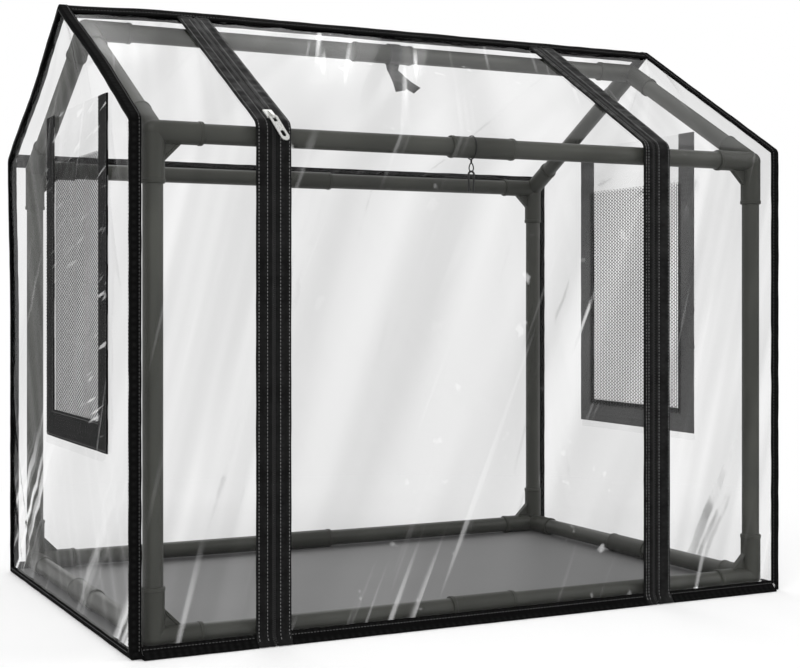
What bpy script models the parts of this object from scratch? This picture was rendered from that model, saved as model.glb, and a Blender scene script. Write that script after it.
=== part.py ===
"""Indoor mini greenhouse: a push-fit pipe frame inside a sewn cover of clear film.

Metres, +Z up. The door faces -Y and the two gables face -X and +X. The origin is the
centre of the bounding box, on the ground.
"""

import math

import bmesh
import bpy
from mathutils import Matrix, Vector
from mathutils.geometry import convex_hull_2d

# Clearance between two pieces that touch or plug together.
FIT = 0.0003

# Pipes and moulded fittings.
PIPE_DIAMETER = 0.018
PIPE_WALL = 0.001
SLEEVE_WALL = 0.001
FITTING_ARM = 0.045
FITTING_CORE = 0.013
WEB_REACH = 0.035
WEB_THICKNESS = 0.006
COUPLER_LENGTH = 0.070
SIDES = 16

# How far a cut or a joined helper runs past the face that it meets.
OVERRUN = 0.001

# Frame, between pipe axes.
FRAME_WIDTH = 0.6532
FRAME_DEPTH = 0.4378
POST_HEIGHT = 0.4382
ROOF_RISE = 0.1223

# Cover: film, sewn tape and the room left round the frame.
FILM = 0.0006
TAPE = 0.0015
BINDING_LEG = 0.008
GABLE_LEG = 0.005
RIDGE_LEG = 0.017
SIDE_SLACK = 0.0120
FRONT_SLACK = 0.0037
RIDGE_SLACK = 0.0149
EAVE_BEND = 0.010
RIDGE_BEND = 0.003
BEND_STEPS = 4

# Door zips: where the teeth run, and how far the tapes reach to the door and away from it.
LEFT_ZIP_X = -0.2207
RIGHT_ZIP_X = 0.1900
LEFT_TAPE_FIXED = 0.0165
LEFT_TAPE_DOOR = 0.0169
RIGHT_TAPE_FIXED = 0.0202
RIGHT_TAPE_DOOR = 0.0115
TEETH_WIDTH = 0.0015
TEETH_HEIGHT = 0.0008
FILM_UNDER_TAPE = 0.006
HEM_HEIGHT = 0.0105

# Slider on the left zip, just above the eave bend, and its pull. The door folds above the slider.
FOLD_ABOVE_SLIDER = 0.0185
SLIDER_LENGTH = 0.014
SLIDER_WIDTH = 0.0095
SLIDER_HEIGHT = 0.0031
SLIDER_CHAMFER = 0.0008
BRIDGE_WIDTH = 0.002
BRIDGE_HEIGHT = 0.0018
EYE_OUTER = 0.0019
EYE_HOLE = 0.0011
EYE_OVERHANG = 0.0016
PULL_LENGTH = 0.027
PULL_WIDTH = 0.0084
PULL_THICKNESS = 0.001
PULL_BAR = 0.001
PULL_SLOT_LENGTH = 0.0055
PULL_SLOT_WIDTH = 0.0032
PULL_HOLE_WIDTH = 0.0036
PULL_HOLE_LENGTH = 0.007
PULL_HOLE_MARGIN = 0.004
PULL_LEAN = Vector((0.30, -0.50, -0.81)).normalized()

# Gable windows, one value for the left gable and one for the right.
WINDOW_CENTRE_Y = {"left": -0.0500, "right": 0.0240}
WINDOW_NET_WIDTH = {"left": 0.1670, "right": 0.1750}
WINDOW_SILL = {"left": 0.1950, "right": 0.1800}
WINDOW_OVERRUN = {"left": 0.0460, "right": 0.0550}
WINDOW_TOP_GAP = {"left": 0.0076, "right": 0.0141}
STRIP_WIDTH = 0.0280
STRIP_BOTTOM = 0.0270
FLAP_THICKNESS = 0.0005
FLAP_HEM = 0.008
NET_THICKNESS = 0.0006
NET_STRAND = 0.0016
NET_BORDER = 0.007
NET_COLUMNS = 9
NET_ROWS = 13
WINDOW_HOLE_MARGIN = 0.002

# Strap on the ridge coupler and tie on the front eave coupler.
STRAP_X = 0.0128
STRAP_WIDTH = 0.013
STRAP_THICKNESS = 0.0009
STRAP_NECK = 0.006
STRAP_TAILS = (Vector((0.0077, -0.0090, -0.0236)), Vector((0.0199, -0.0150, -0.0228)))
TIE_X = -0.0114
TIE_WIRE = 0.0006
TIE_CORD = 0.0010
TIE_NECK = 0.0036
TIE_DROP = 0.0080
TIE_LOOP_WIDTH = 0.0058
TIE_LEG = 0.0195

# Lengths that follow from the ones above.
PIPE_R = PIPE_DIAMETER / 2
BORE_R = PIPE_R + FIT
SLEEVE_R = BORE_R + SLEEVE_WALL
SEAM = FIT + TAPE
BASE_Z = SEAM + FILM + FIT + SLEEVE_R
EAVE_Z = BASE_Z + POST_HEIGHT
RIDGE_Z = EAVE_Z + ROOF_RISE
POST_X = FRAME_WIDTH / 2
POST_Y = FRAME_DEPTH / 2
RAFTER = Vector((0, POST_Y, ROOF_RISE)).normalized()

FILM_X = POST_X + SLEEVE_R + SIDE_SLACK + FILM
FILM_Y = POST_Y + SLEEVE_R + FRONT_SLACK + FILM
FILM_BOTTOM = SEAM
FILM_EAVE = EAVE_Z + SLEEVE_R
FILM_RIDGE = RIDGE_Z + SLEEVE_R + RIDGE_SLACK
SLOPE = (FILM_RIDGE - FILM_EAVE) / FILM_Y
SECANT = math.hypot(1, SLOPE)
PITCH = math.atan(SLOPE)
UPSLOPE = Vector((0, math.cos(PITCH), math.sin(PITCH)))
ROOF_NORMAL = Vector((0, -math.sin(PITCH), math.cos(PITCH)))
RIDGE_EDGE_RUN = RIDGE_LEG * math.cos(PITCH) + FIT
EAVE_BEND_TANGENT = EAVE_BEND / math.tan(math.pi / 4 + PITCH / 2)
SLIDER_RUN = FILM_Y - (EAVE_BEND_TANGENT + SLIDER_LENGTH / 2) * math.cos(PITCH)
DOOR_FOLD_RUN = SLIDER_RUN - FOLD_ABOVE_SLIDER
FLANGE_X = FILM_X - BINDING_LEG


def clear_scene():
    """Remove whatever the file holds, so that only the greenhouse is left."""
    for obj in list(bpy.data.objects):
        bpy.data.objects.remove(obj, do_unlink=True)


def add_collection(name, hidden=False):
    """A new collection under the scene's own."""
    collection = bpy.data.collections.new(name)
    bpy.context.scene.collection.children.link(collection)
    collection.hide_render = hidden
    return collection


def add_material(name, colour, roughness, metallic=0.0, alpha=1.0):
    """A plain Principled material."""
    material = bpy.data.materials.new(name)
    material.use_nodes = True
    shader = material.node_tree.nodes["Principled BSDF"]
    shader.inputs["Base Color"].default_value = (*colour, 1.0)
    shader.inputs["Roughness"].default_value = roughness
    shader.inputs["Metallic"].default_value = metallic
    shader.inputs["Alpha"].default_value = alpha
    return material


clear_scene()
PARTS = add_collection("mini_greenhouse")
CUTTERS = add_collection("cutters", hidden=True)

PIPE_COAT = add_material("coated_pipe", (0.068, 0.070, 0.060), 0.45)
FITTING_PLASTIC = add_material("fitting_plastic", (0.060, 0.062, 0.053), 0.5)
CLEAR_FILM = add_material("clear_film", (0.93, 0.94, 0.95), 0.08, alpha=0.25)
BINDING_FABRIC = add_material("binding_fabric", (0.010, 0.010, 0.010), 0.9)
ZIP_FABRIC = add_material("zip_fabric", (0.018, 0.018, 0.018), 0.85)
STRIP_FABRIC = add_material("strip_fabric", (0.020, 0.020, 0.021), 0.95)
FLOOR_FILM = add_material("floor_film", (0.190, 0.190, 0.190), 0.55)
NET_YARN = add_material("net_yarn", (0.020, 0.020, 0.020), 0.8)
ZIP_METAL = add_material("zip_metal", (0.55, 0.55, 0.55), 0.3, metallic=1.0)
STRAP_WEBBING = add_material("strap_webbing", (0.070, 0.070, 0.070), 0.9)
TIE_PLASTIC = add_material("tie_cord", (0.015, 0.015, 0.015), 0.6)


def finish(obj, material, parent, smooth=False):
    """Give a piece its material and its parent, without moving it in the world."""
    obj.data.materials.clear()
    obj.data.materials.append(material)
    if smooth:
        obj.data.shade_smooth()
        if obj.type == "MESH":
            obj.data.set_sharp_from_angle(angle=math.radians(40))
    if obj.name not in PARTS.objects:
        PARTS.objects.link(obj)
    obj.parent = parent
    obj.location = obj.location - parent_point(parent)
    return obj


def parent_point(parent):
    """World position of an empty, through the empties that hold it."""
    point = Vector((0, 0, 0))
    while parent is not None:
        point += parent.location
        parent = parent.parent
    return point


def add_empty(name, position, parent=None):
    """An empty at a world position: a joint's axis, or the whole part's base."""
    empty = bpy.data.objects.new(name, None)
    empty.empty_display_size = 0.03
    PARTS.objects.link(empty)
    empty.parent = parent
    empty.location = Vector(position) - parent_point(parent)
    return empty


def mesh_object(name, bm, origin=(0, 0, 0)):
    """Turn a bmesh in world coordinates into an object whose origin is the given point."""
    bmesh.ops.translate(bm, verts=bm.verts, vec=-Vector(origin))
    mesh = bpy.data.meshes.new(name)
    bm.to_mesh(mesh)
    bm.free()
    obj = bpy.data.objects.new(name, mesh)
    obj.location = origin
    return obj


def prism(name, outline, span, plane="YZ"):
    """Sweep a flat outline straight across its plane, between the two values of span."""
    start, end = span
    if plane == "YZ":
        points = [Vector((start, a, b)) for a, b in outline]
        step = Vector((end - start, 0, 0))
    elif plane == "XZ":
        points = [Vector((a, start, b)) for a, b in outline]
        step = Vector((0, end - start, 0))
    else:
        points = [Vector((a, b, start)) for a, b in outline]
        step = Vector((0, 0, end - start))
    bm = bmesh.new()
    face = bm.faces.new([bm.verts.new(point) for point in points])
    swept = bmesh.ops.extrude_face_region(bm, geom=[face])["geom"]
    bmesh.ops.translate(bm, verts=[v for v in swept if isinstance(v, bmesh.types.BMVert)], vec=step)
    bmesh.ops.recalc_face_normals(bm, faces=bm.faces)
    low = [min(v.co[i] for v in bm.verts) for i in range(3)]
    high = [max(v.co[i] for v in bm.verts) for i in range(3)]
    return mesh_object(name, bm, [(a + b) / 2 for a, b in zip(low, high)])


def box_outline(a0, a1, b0, b1):
    """Four corners of a rectangle."""
    return [(a0, b0), (a1, b0), (a1, b1), (a0, b1)]


def combine(obj, tool, operation):
    """Join a helper to a piece, or cut it out of the piece."""
    CUTTERS.objects.link(tool)
    tool.parent = ROOT
    tool.hide_render = True
    tool.display_type = "WIRE"
    modifier = obj.modifiers.new(tool.name, "BOOLEAN")
    modifier.operation = operation
    modifier.object = tool
    modifier.solver = "EXACT"
    return obj


def baked(obj):
    """The piece's mesh with its modifiers worked in."""
    if obj.name not in PARTS.objects:
        PARTS.objects.link(obj)
    bpy.context.view_layer.update()
    graph = bpy.context.evaluated_depsgraph_get()
    mesh = bpy.data.meshes.new_from_object(obj.evaluated_get(graph))
    bm = bmesh.new()
    bm.from_mesh(mesh)
    bmesh.ops.remove_doubles(bm, verts=bm.verts, dist=1e-6)
    bmesh.ops.recalc_face_normals(bm, faces=bm.faces)
    bm.to_mesh(mesh)
    bm.free()
    return mesh


# Pipes

def turned(name, profile):
    """Turn a closed profile of (radius, height) points about Z."""
    mesh = bpy.data.meshes.new(name)
    bm = bmesh.new()
    verts = [bm.verts.new((radius, 0, height)) for radius, height in profile]
    for first, second in zip(verts, verts[1:] + verts[:1]):
        bm.edges.new((first, second))
    bm.to_mesh(mesh)
    bm.free()
    obj = bpy.data.objects.new(name, mesh)
    turn = obj.modifiers.new("turn", "SCREW")
    turn.steps = SIDES
    turn.render_steps = SIDES
    turn.use_merge_vertices = True
    turn.merge_threshold = 1e-5
    turn.use_smooth_shade = True
    return obj


def add_pipe(name, start, end, sleeve=False):
    """A hollow pipe between two points. A sleeve on its end takes the next pipe."""
    start = Vector(start)
    run = Vector(end) - start
    length = run.length
    inner = PIPE_R - PIPE_WALL
    if sleeve:
        half = COUPLER_LENGTH / 2
        profile = [
            (SLEEVE_R, length + half),
            (SLEEVE_R, length - half),
            (PIPE_R, length - half),
            (PIPE_R, 0),
            (inner, 0),
            (inner, length),
            (BORE_R, length),
            (BORE_R, length + half),
        ]
    else:
        profile = [(PIPE_R, length), (PIPE_R, 0), (inner, 0), (inner, length)]
    obj = turned(name, profile)
    obj.location = start
    obj.rotation_euler = run.to_track_quat("Z", "Y").to_euler()
    return finish(obj, PIPE_COAT, ROOT)


def add_rail(name, left_name, right_name, start, end):
    """A rail of two pipes, joined at mid-length by the sleeve on the first one."""
    start = Vector(start)
    end = Vector(end)
    along = (end - start).normalized()
    middle = (start + end) / 2
    stop = FITTING_CORE + FIT
    add_pipe(f"{name}_{left_name}", start + along * stop, middle, sleeve=True)
    add_pipe(f"{name}_{right_name}", end - along * stop, middle + along * FIT)


# Moulded fittings

def rod(name, radius, start, end):
    """A plain cylinder between two points."""
    start = Vector(start)
    run = Vector(end) - start
    place = Matrix.Translation(start + run / 2) @ run.to_track_quat("Z", "Y").to_matrix().to_4x4()
    bm = bmesh.new()
    bmesh.ops.create_cone(
        bm, cap_ends=True, segments=SIDES, radius1=radius, radius2=radius, depth=run.length, matrix=place
    )
    return mesh_object(name, bm)


def web_plate(name, first, second):
    """The triangular web between two arms of a fitting."""
    across = first.cross(second).normalized() * WEB_THICKNESS
    bm = bmesh.new()
    corners = [Vector((0, 0, 0)), first * WEB_REACH, second * WEB_REACH]
    face = bm.faces.new([bm.verts.new(corner - across / 2) for corner in corners])
    swept = bmesh.ops.extrude_face_region(bm, geom=[face])["geom"]
    bmesh.ops.translate(bm, verts=[v for v in swept if isinstance(v, bmesh.types.BMVert)], vec=across)
    bmesh.ops.recalc_face_normals(bm, faces=bm.faces)
    return mesh_object(name, bm)


def fitting_mesh(name, arms, webs):
    """A three-way fitting: sleeves that meet in a ball, webs between them and a socket in each."""
    bm = bmesh.new()
    bmesh.ops.create_uvsphere(bm, u_segments=12, v_segments=8, radius=SLEEVE_R + FIT / 2)
    fitting = mesh_object(name, bm)
    for number, arm in enumerate(arms):
        sleeve = rod(f"{name}_sleeve_{number}", SLEEVE_R, (0, 0, 0), arm * FITTING_ARM)
        combine(fitting, sleeve, "UNION")
    for number, (first, second) in enumerate(webs):
        combine(fitting, web_plate(f"{name}_web_{number}", first, second), "UNION")
    for number, arm in enumerate(arms):
        mouth = arm * (FITTING_ARM + OVERRUN)
        combine(fitting, rod(f"{name}_socket_{number}", BORE_R, arm * FITTING_CORE, mouth), "DIFFERENCE")
    mesh = baked(fitting)
    bpy.data.objects.remove(fitting, do_unlink=True)
    return mesh


def add_fitting(name, mesh, position, flip_x, flip_y):
    """Place a fitting, mirrored across X or Y where its corner asks for it."""
    copy = mesh.copy()
    copy.name = name
    copy.transform(Matrix.Diagonal((flip_x, flip_y, 1, 1)))
    if flip_x * flip_y < 0:
        copy.flip_normals()
    obj = bpy.data.objects.new(name, copy)
    obj.location = position
    return finish(obj, FITTING_PLASTIC, ROOT, smooth=True)


# Cover outlines, in the YZ plane. An offset pushes them out from the film's outer face.

def fillet(before, corner, after, radius):
    """Points of the arc that rounds off a corner of an outline."""
    corner = Vector(corner)
    to_before = (Vector(before) - corner).normalized()
    to_after = (Vector(after) - corner).normalized()
    half = to_before.angle(to_after) / 2
    tangent = radius / math.tan(half)
    centre = corner + (to_before + to_after).normalized() * (radius / math.sin(half))
    first = corner + to_before * tangent - centre
    last = corner + to_after * tangent - centre
    total = first.angle_signed(last)
    arc = []
    for step in range(BEND_STEPS + 1):
        arm = first.copy()
        arm.rotate(Matrix.Rotation(-total * step / BEND_STEPS, 2))
        arc.append(tuple(centre + arm))
    return arc


def eave_corner(offset):
    """Where the front wall and the front roof would meet if the bend were sharp."""
    return (-(FILM_Y + offset), FILM_EAVE - SLOPE * offset + SECANT * offset)


def roof_point(run, offset):
    """Point of the front roof at a level distance from the ridge."""
    return (-run, FILM_RIDGE - SLOPE * run + SECANT * offset)


def wall_point(height, offset):
    """Point of the front wall at a height."""
    return (-(FILM_Y + offset), height)


def front_path(offset, bottom, top_run):
    """Up the front wall, round the eave bend and up the roof to a level distance from the ridge."""
    start = wall_point(bottom, offset)
    end = roof_point(top_run, offset)
    bend = fillet(start, eave_corner(offset), roof_point(0, offset), EAVE_BEND + offset)
    return [start, *bend, end]


def mirrored(points):
    """The same points on the back half."""
    return [(-y, z) for y, z in points]


def band(inner, outer):
    """Outline of a layer between two paths."""
    return inner + outer[::-1]


def gable_outline(offset):
    """The whole cross-section of the cover, rounded at the eaves and the ridge."""
    low = FILM_BOTTOM - offset
    foot = wall_point(low, offset)
    peak = roof_point(0, offset)
    eave = eave_corner(offset)
    bend = fillet(foot, eave, peak, max(EAVE_BEND + offset, FIT))
    crown = fillet(eave, peak, mirrored([eave])[0], max(RIDGE_BEND + offset, FIT))
    return [foot, *bend, *crown, *mirrored(bend[::-1]), *mirrored([foot])]


def add_front_layer(name, span, offsets, bottom, top_run):
    """A layer that follows the front wall and roof, between two X values."""
    inner = front_path(offsets[0], bottom, top_run)
    outer = front_path(offsets[1], bottom, top_run)
    return prism(name, band(inner, outer), span)


def add_roof_layer(name, span, offsets, low_run, top_run):
    """A flat layer of the front roof between two level distances from the ridge."""
    inner = [roof_point(low_run, offsets[0]), roof_point(top_run, offsets[0])]
    outer = [roof_point(low_run, offsets[1]), roof_point(top_run, offsets[1])]
    return prism(name, band(inner, outer), span)


# Cover pieces

def add_gable(side, sign):
    """Gable film with its window, and the binding sewn round its edge and along the front hem."""
    film = prism(f"gable_panel_{side}", gable_outline(0), (sign * (FILM_X - FILM), sign * FILM_X))
    window = WINDOWS[side]
    margin = WINDOW_HOLE_MARGIN
    hole = box_outline(
        window["net_y0"] + margin, window["net_y1"] - margin, window["net_z0"] + margin, window["net_z1"] - margin
    )
    cutter = prism(f"window_cutter_{side}", hole, (sign * (FILM_X - 10 * OVERRUN), sign * (FILM_X + 10 * OVERRUN)))
    finish(combine(film, cutter, "DIFFERENCE"), CLEAR_FILM, ROOT)

    outer = sign * (FILM_X + SEAM)
    binding = prism(f"gable_binding_{side}", gable_outline(SEAM), (sign * FLANGE_X, outer))
    inside = prism(
        f"binding_inside_{side}", gable_outline(FIT), (sign * (FLANGE_X - 10 * OVERRUN), sign * (FILM_X + FIT))
    )
    middle = prism(
        f"binding_middle_{side}", gable_outline(-GABLE_LEG), (sign * (FLANGE_X - 10 * OVERRUN), sign * (FILM_X + 10 * OVERRUN))
    )
    tape_edge = LEFT_ZIP_X - LEFT_TAPE_FIXED if sign < 0 else RIGHT_ZIP_X + RIGHT_TAPE_FIXED
    hem = prism(
        f"front_hem_{side}", bottom_seam(-1), (sign * (FLANGE_X + FIT), tape_edge + sign * FIT)
    )
    combine(binding, inside, "DIFFERENCE")
    combine(binding, middle, "DIFFERENCE")
    finish(combine(binding, hem, "UNION"), BINDING_FABRIC, ROOT)


def bottom_seam(sign):
    """L-shaped section of a bottom binding: up the wall and in under the floor."""
    inner_y = FILM_Y + FIT
    outer_y = FILM_Y + SEAM
    points = [
        (inner_y, FILM_BOTTOM + BINDING_LEG),
        (outer_y, FILM_BOTTOM + BINDING_LEG),
        (outer_y, 0),
        (FILM_Y - BINDING_LEG, 0),
        (FILM_Y - BINDING_LEG, TAPE),
        (inner_y, TAPE),
    ]
    return [(sign * y, z) for y, z in points]


def add_long_seams():
    """Bindings of the ridge, the back eave and the back bottom edge."""
    span = (-(FLANGE_X - FIT), FLANGE_X - FIT)
    ends = []
    for offset in (FIT, SEAM):
        front = roof_point(RIDGE_LEG * math.cos(PITCH), offset)
        peak = roof_point(0, offset)
        crown = fillet(front, peak, mirrored([front])[0], RIDGE_BEND + offset)
        ends.append([front, *crown, *mirrored([front])])
    finish(prism("ridge_binding", band(*ends), span), BINDING_FABRIC, ROOT)

    low = eave_corner(0)[1] - BINDING_LEG
    top_run = FILM_Y - BINDING_LEG * math.cos(PITCH)
    ends = [mirrored(front_path(offset, low, top_run)) for offset in (FIT, SEAM)]
    finish(prism("back_eave_binding", band(*ends), span), BINDING_FABRIC, ROOT)
    finish(prism("back_bottom_binding", bottom_seam(1), span), BINDING_FABRIC, ROOT)


def add_fixed_film():
    """Floor sheet, back film and the narrow front panels beside the zips."""
    half = FILM_X - FILM - FIT
    depth = FILM_Y - FILM - FIT
    floor = box_outline(-half, half, -depth, depth)
    finish(prism("floor_sheet", floor, (FILM_BOTTOM, FILM_BOTTOM + FILM), "XY"), FLOOR_FILM, ROOT)

    back = [mirrored(front_path(offset, FILM_BOTTOM, FILM)) for offset in (-FILM, 0)]
    finish(prism("back_panel", band(*back), (-half, half)), CLEAR_FILM, ROOT)

    left_end = LEFT_ZIP_X - LEFT_TAPE_FIXED + FILM_UNDER_TAPE
    right_start = RIGHT_ZIP_X + RIGHT_TAPE_FIXED - FILM_UNDER_TAPE
    for name, span in (("left", (-half, left_end)), ("right", (right_start, half))):
        panel = add_front_layer(f"front_panel_{name}", span, (-FILM, 0), FILM_BOTTOM, FILM)
        finish(panel, CLEAR_FILM, ROOT)


def add_tape(name, edge, teeth, layer, parent=None):
    """A zip tape with its row of teeth along one edge. layer builds one layer of it."""
    tape = layer(name, (edge, teeth), (FIT, SEAM))
    side = TEETH_WIDTH if edge > teeth else -TEETH_WIDTH
    row = layer(f"{name}_teeth", (teeth + side, teeth), (SEAM - FIT, SEAM + TEETH_HEIGHT))
    combine(tape, row, "UNION")
    if parent is not None:
        finish(tape, ZIP_FABRIC, parent)
    return tape


def add_zips():
    """The fixed tapes, the door's roof tapes and the edging down its front and along its hem."""
    def fixed(name, span, offsets):
        return add_front_layer(name, span, offsets, FIT, RIDGE_EDGE_RUN)

    def door_roof(name, span, offsets):
        return add_roof_layer(name, span, offsets, DOOR_FOLD_RUN - FIT / 2, RIDGE_EDGE_RUN)

    def door_front(name, span, offsets):
        return add_front_layer(name, span, offsets, FIT, DOOR_FOLD_RUN + FIT / 2)

    gap = FIT / 2
    left_fixed = (LEFT_ZIP_X - LEFT_TAPE_FIXED, LEFT_ZIP_X - gap)
    left_door = (LEFT_ZIP_X + LEFT_TAPE_DOOR, LEFT_ZIP_X + gap)
    right_fixed = (RIGHT_ZIP_X + RIGHT_TAPE_FIXED, RIGHT_ZIP_X + gap)
    right_door = (RIGHT_ZIP_X - RIGHT_TAPE_DOOR, RIGHT_ZIP_X - gap)
    add_tape("zip_tape_fixed_left", *left_fixed, fixed, ROOT)
    add_tape("zip_tape_fixed_right", *right_fixed, fixed, ROOT)
    add_tape("zip_tape_door_roof_left", *left_door, door_roof, DOOR_ROOF)
    add_tape("zip_tape_door_roof_right", *right_door, door_roof, DOOR_ROOF)

    edging = add_tape("door_front_edging", *left_door, door_front)
    right_edge = add_tape("door_edging_right", *right_door, door_front)
    right_solid = bpy.data.objects.new("door_edging_right_solid", baked(right_edge))
    right_solid.location = right_edge.location
    bpy.data.objects.remove(right_edge, do_unlink=True)
    hem_span = (left_door[0] - OVERRUN, right_door[0] + OVERRUN)
    hem_outline = [
        wall_point(FIT, FIT),
        wall_point(FIT, SEAM),
        wall_point(FIT + HEM_HEIGHT, SEAM),
        wall_point(FIT + HEM_HEIGHT, FIT),
    ]
    combine(edging, prism("door_hem", hem_outline, hem_span), "UNION")
    combine(edging, right_solid, "UNION")
    finish(edging, ZIP_FABRIC, DOOR_FRONT)


def add_door_film():
    """The clear part of the door, in its roof half and its front half."""
    span = (
        LEFT_ZIP_X + LEFT_TAPE_DOOR - FILM_UNDER_TAPE,
        RIGHT_ZIP_X - RIGHT_TAPE_DOOR + FILM_UNDER_TAPE,
    )
    roof = add_roof_layer("door_roof_panel", span, (-FILM, 0), DOOR_FOLD_RUN - FIT / 2, RIDGE_EDGE_RUN)
    finish(roof, CLEAR_FILM, DOOR_ROOF)
    front = add_front_layer("door_front_panel", span, (-FILM, 0), FILM_BOTTOM, DOOR_FOLD_RUN + FIT / 2)
    finish(front, CLEAR_FILM, DOOR_FRONT)


# Zip slider and pull

def slider_place():
    """Frame of the slider: X across the zip, Y up the slope and Z out of the roof."""
    y, z = roof_point(SLIDER_RUN, 0)
    axes = Matrix((Vector((1, 0, 0)), UPSLOPE, ROOF_NORMAL)).transposed().to_4x4()
    return Matrix.Translation((LEFT_ZIP_X, y, z)) @ axes


def pull_hinge():
    """World position of the pull's bar in the slider's eye."""
    eye_y = -(SLIDER_LENGTH / 2 + EYE_OVERHANG)
    eye_z = SEAM + FIT + SLIDER_HEIGHT + FIT
    return slider_place() @ Vector((0, eye_y, eye_z))


def add_slider():
    """Slider body straddling the teeth, with a bridge that ends in the pull's eye."""
    low = SEAM + FIT
    top = low + SLIDER_HEIGHT
    groove = SEAM + TEETH_HEIGHT + FIT
    wide = SLIDER_WIDTH / 2
    slot = TEETH_WIDTH + FIT
    section = [
        (-wide, low),
        (-slot, low),
        (-slot, groove),
        (slot, groove),
        (slot, low),
        (wide, low),
        (wide, top - SLIDER_CHAMFER),
        (wide - SLIDER_CHAMFER, top),
        (-wide + SLIDER_CHAMFER, top),
        (-wide, top - SLIDER_CHAMFER),
    ]
    half = SLIDER_LENGTH / 2
    body = prism("zip_slider", section, (-half, half), "XZ")

    eye = Vector((-(half + EYE_OVERHANG), top + FIT))
    ring = [
        eye + Vector((math.cos(turn), math.sin(turn))) * EYE_OUTER
        for turn in (2 * math.pi * step / 16 for step in range(16))
    ]
    foot = [
        Vector((-half * 0.4, top - FIT)),
        Vector((half * 0.5, top - FIT)),
        Vector((half * 0.4, top + BRIDGE_HEIGHT * 0.7)),
        Vector((-half * 0.2, top + BRIDGE_HEIGHT)),
    ]
    shape = ring + foot
    outline = [tuple(shape[index]) for index in convex_hull_2d(shape)]
    bridge = prism("slider_bridge", outline, (-BRIDGE_WIDTH / 2, BRIDGE_WIDTH / 2))
    hole = [
        tuple(eye + Vector((math.cos(turn), math.sin(turn))) * EYE_HOLE)
        for turn in (2 * math.pi * step / 12 for step in range(12))
    ]
    drill = prism("slider_eye", hole, (-BRIDGE_WIDTH, BRIDGE_WIDTH))
    mesh = baked(combine(combine(body, bridge, "UNION"), drill, "DIFFERENCE"))
    centre = body.location.copy()
    bpy.data.objects.remove(body, do_unlink=True)
    mesh.transform(Matrix.Translation(centre))
    place = slider_place()
    slider = bpy.data.objects.new("zip_slider", mesh)
    slider.location = place.translation
    slider.rotation_euler = place.to_euler()
    finish(slider, ZIP_METAL, DOOR_FRONT, smooth=True)


def rounded_slot(width, length, top):
    """Outline of a slot with round ends, hanging down from the given height."""
    radius = width / 2
    points = []
    for step in range(9):
        turn = math.pi * step / 8
        points.append((radius * math.cos(turn), top - radius + radius * math.sin(turn)))
    for step in range(9):
        turn = math.pi + math.pi * step / 8
        points.append((radius * math.cos(turn), top - length + radius + radius * math.sin(turn)))
    return points


def flat_piece(name, outlines, thickness):
    """A flat piece cut to one outline, with the other outlines as its holes."""
    curve = bpy.data.curves.new(name, "CURVE")
    curve.dimensions = "2D"
    curve.fill_mode = "BOTH"
    curve.extrude = thickness / 2
    for outline in outlines:
        spline = curve.splines.new("POLY")
        spline.points.add(len(outline) - 1)
        for point, (x, y) in zip(spline.points, outline):
            point.co = (x, y, 0, 1)
        spline.use_cyclic_u = True
    return bpy.data.objects.new(name, curve)


def add_pull():
    """Flat pull with a slot at the slider's eye, a rounded end and an oval hole."""
    half = PULL_WIDTH / 2
    top = PULL_BAR / 2
    outline = [(half * 0.8, top), (-half * 0.8, top), (-half, top - half * 0.3)]
    for step in range(9):
        turn = math.pi + math.pi * step / 8
        outline.append((half * math.cos(turn), half - PULL_LENGTH + half * math.sin(turn)))
    outline.append((half, top - half * 0.3))
    wide = PULL_SLOT_WIDTH / 2
    slot = box_outline(-wide, wide, -top - PULL_SLOT_LENGTH, -top)
    hole = rounded_slot(PULL_HOLE_WIDTH, PULL_HOLE_LENGTH, PULL_HOLE_MARGIN + PULL_HOLE_LENGTH - PULL_LENGTH)
    pull = flat_piece("zip_pull", [outline, slot, hole], PULL_THICKNESS)
    up = -PULL_LEAN
    across = (Vector((1, 0, 0)) - up * up.x).normalized()
    axes = Matrix((across, up, across.cross(up))).transposed()
    pull.location = pull_hinge()
    pull.rotation_euler = axes.to_euler()
    finish(pull, ZIP_METAL, PULL)


# Gable windows

def window_sizes(side):
    """Where a window's net, strips and flap lie on its gable."""
    half = WINDOW_NET_WIDTH[side] / 2
    y0 = WINDOW_CENTRE_Y[side] - half
    y1 = WINDOW_CENTRE_Y[side] + half
    outer = max(abs(y0 - STRIP_WIDTH), abs(y1 + STRIP_WIDTH))
    under_binding = FILM_EAVE + SLOPE * (FILM_Y - outer) - GABLE_LEG * SECANT
    top = under_binding - WINDOW_TOP_GAP[side]
    return {
        "net_y0": y0,
        "net_y1": y1,
        "net_z0": WINDOW_SILL[side],
        "net_z1": top - WINDOW_OVERRUN[side],
        "strip_y0": y0 - STRIP_WIDTH,
        "strip_y1": y1 + STRIP_WIDTH,
        "strip_z0": WINDOW_SILL[side] - STRIP_BOTTOM,
        "top": top,
    }


WINDOWS = {side: window_sizes(side) for side in ("left", "right")}


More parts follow.
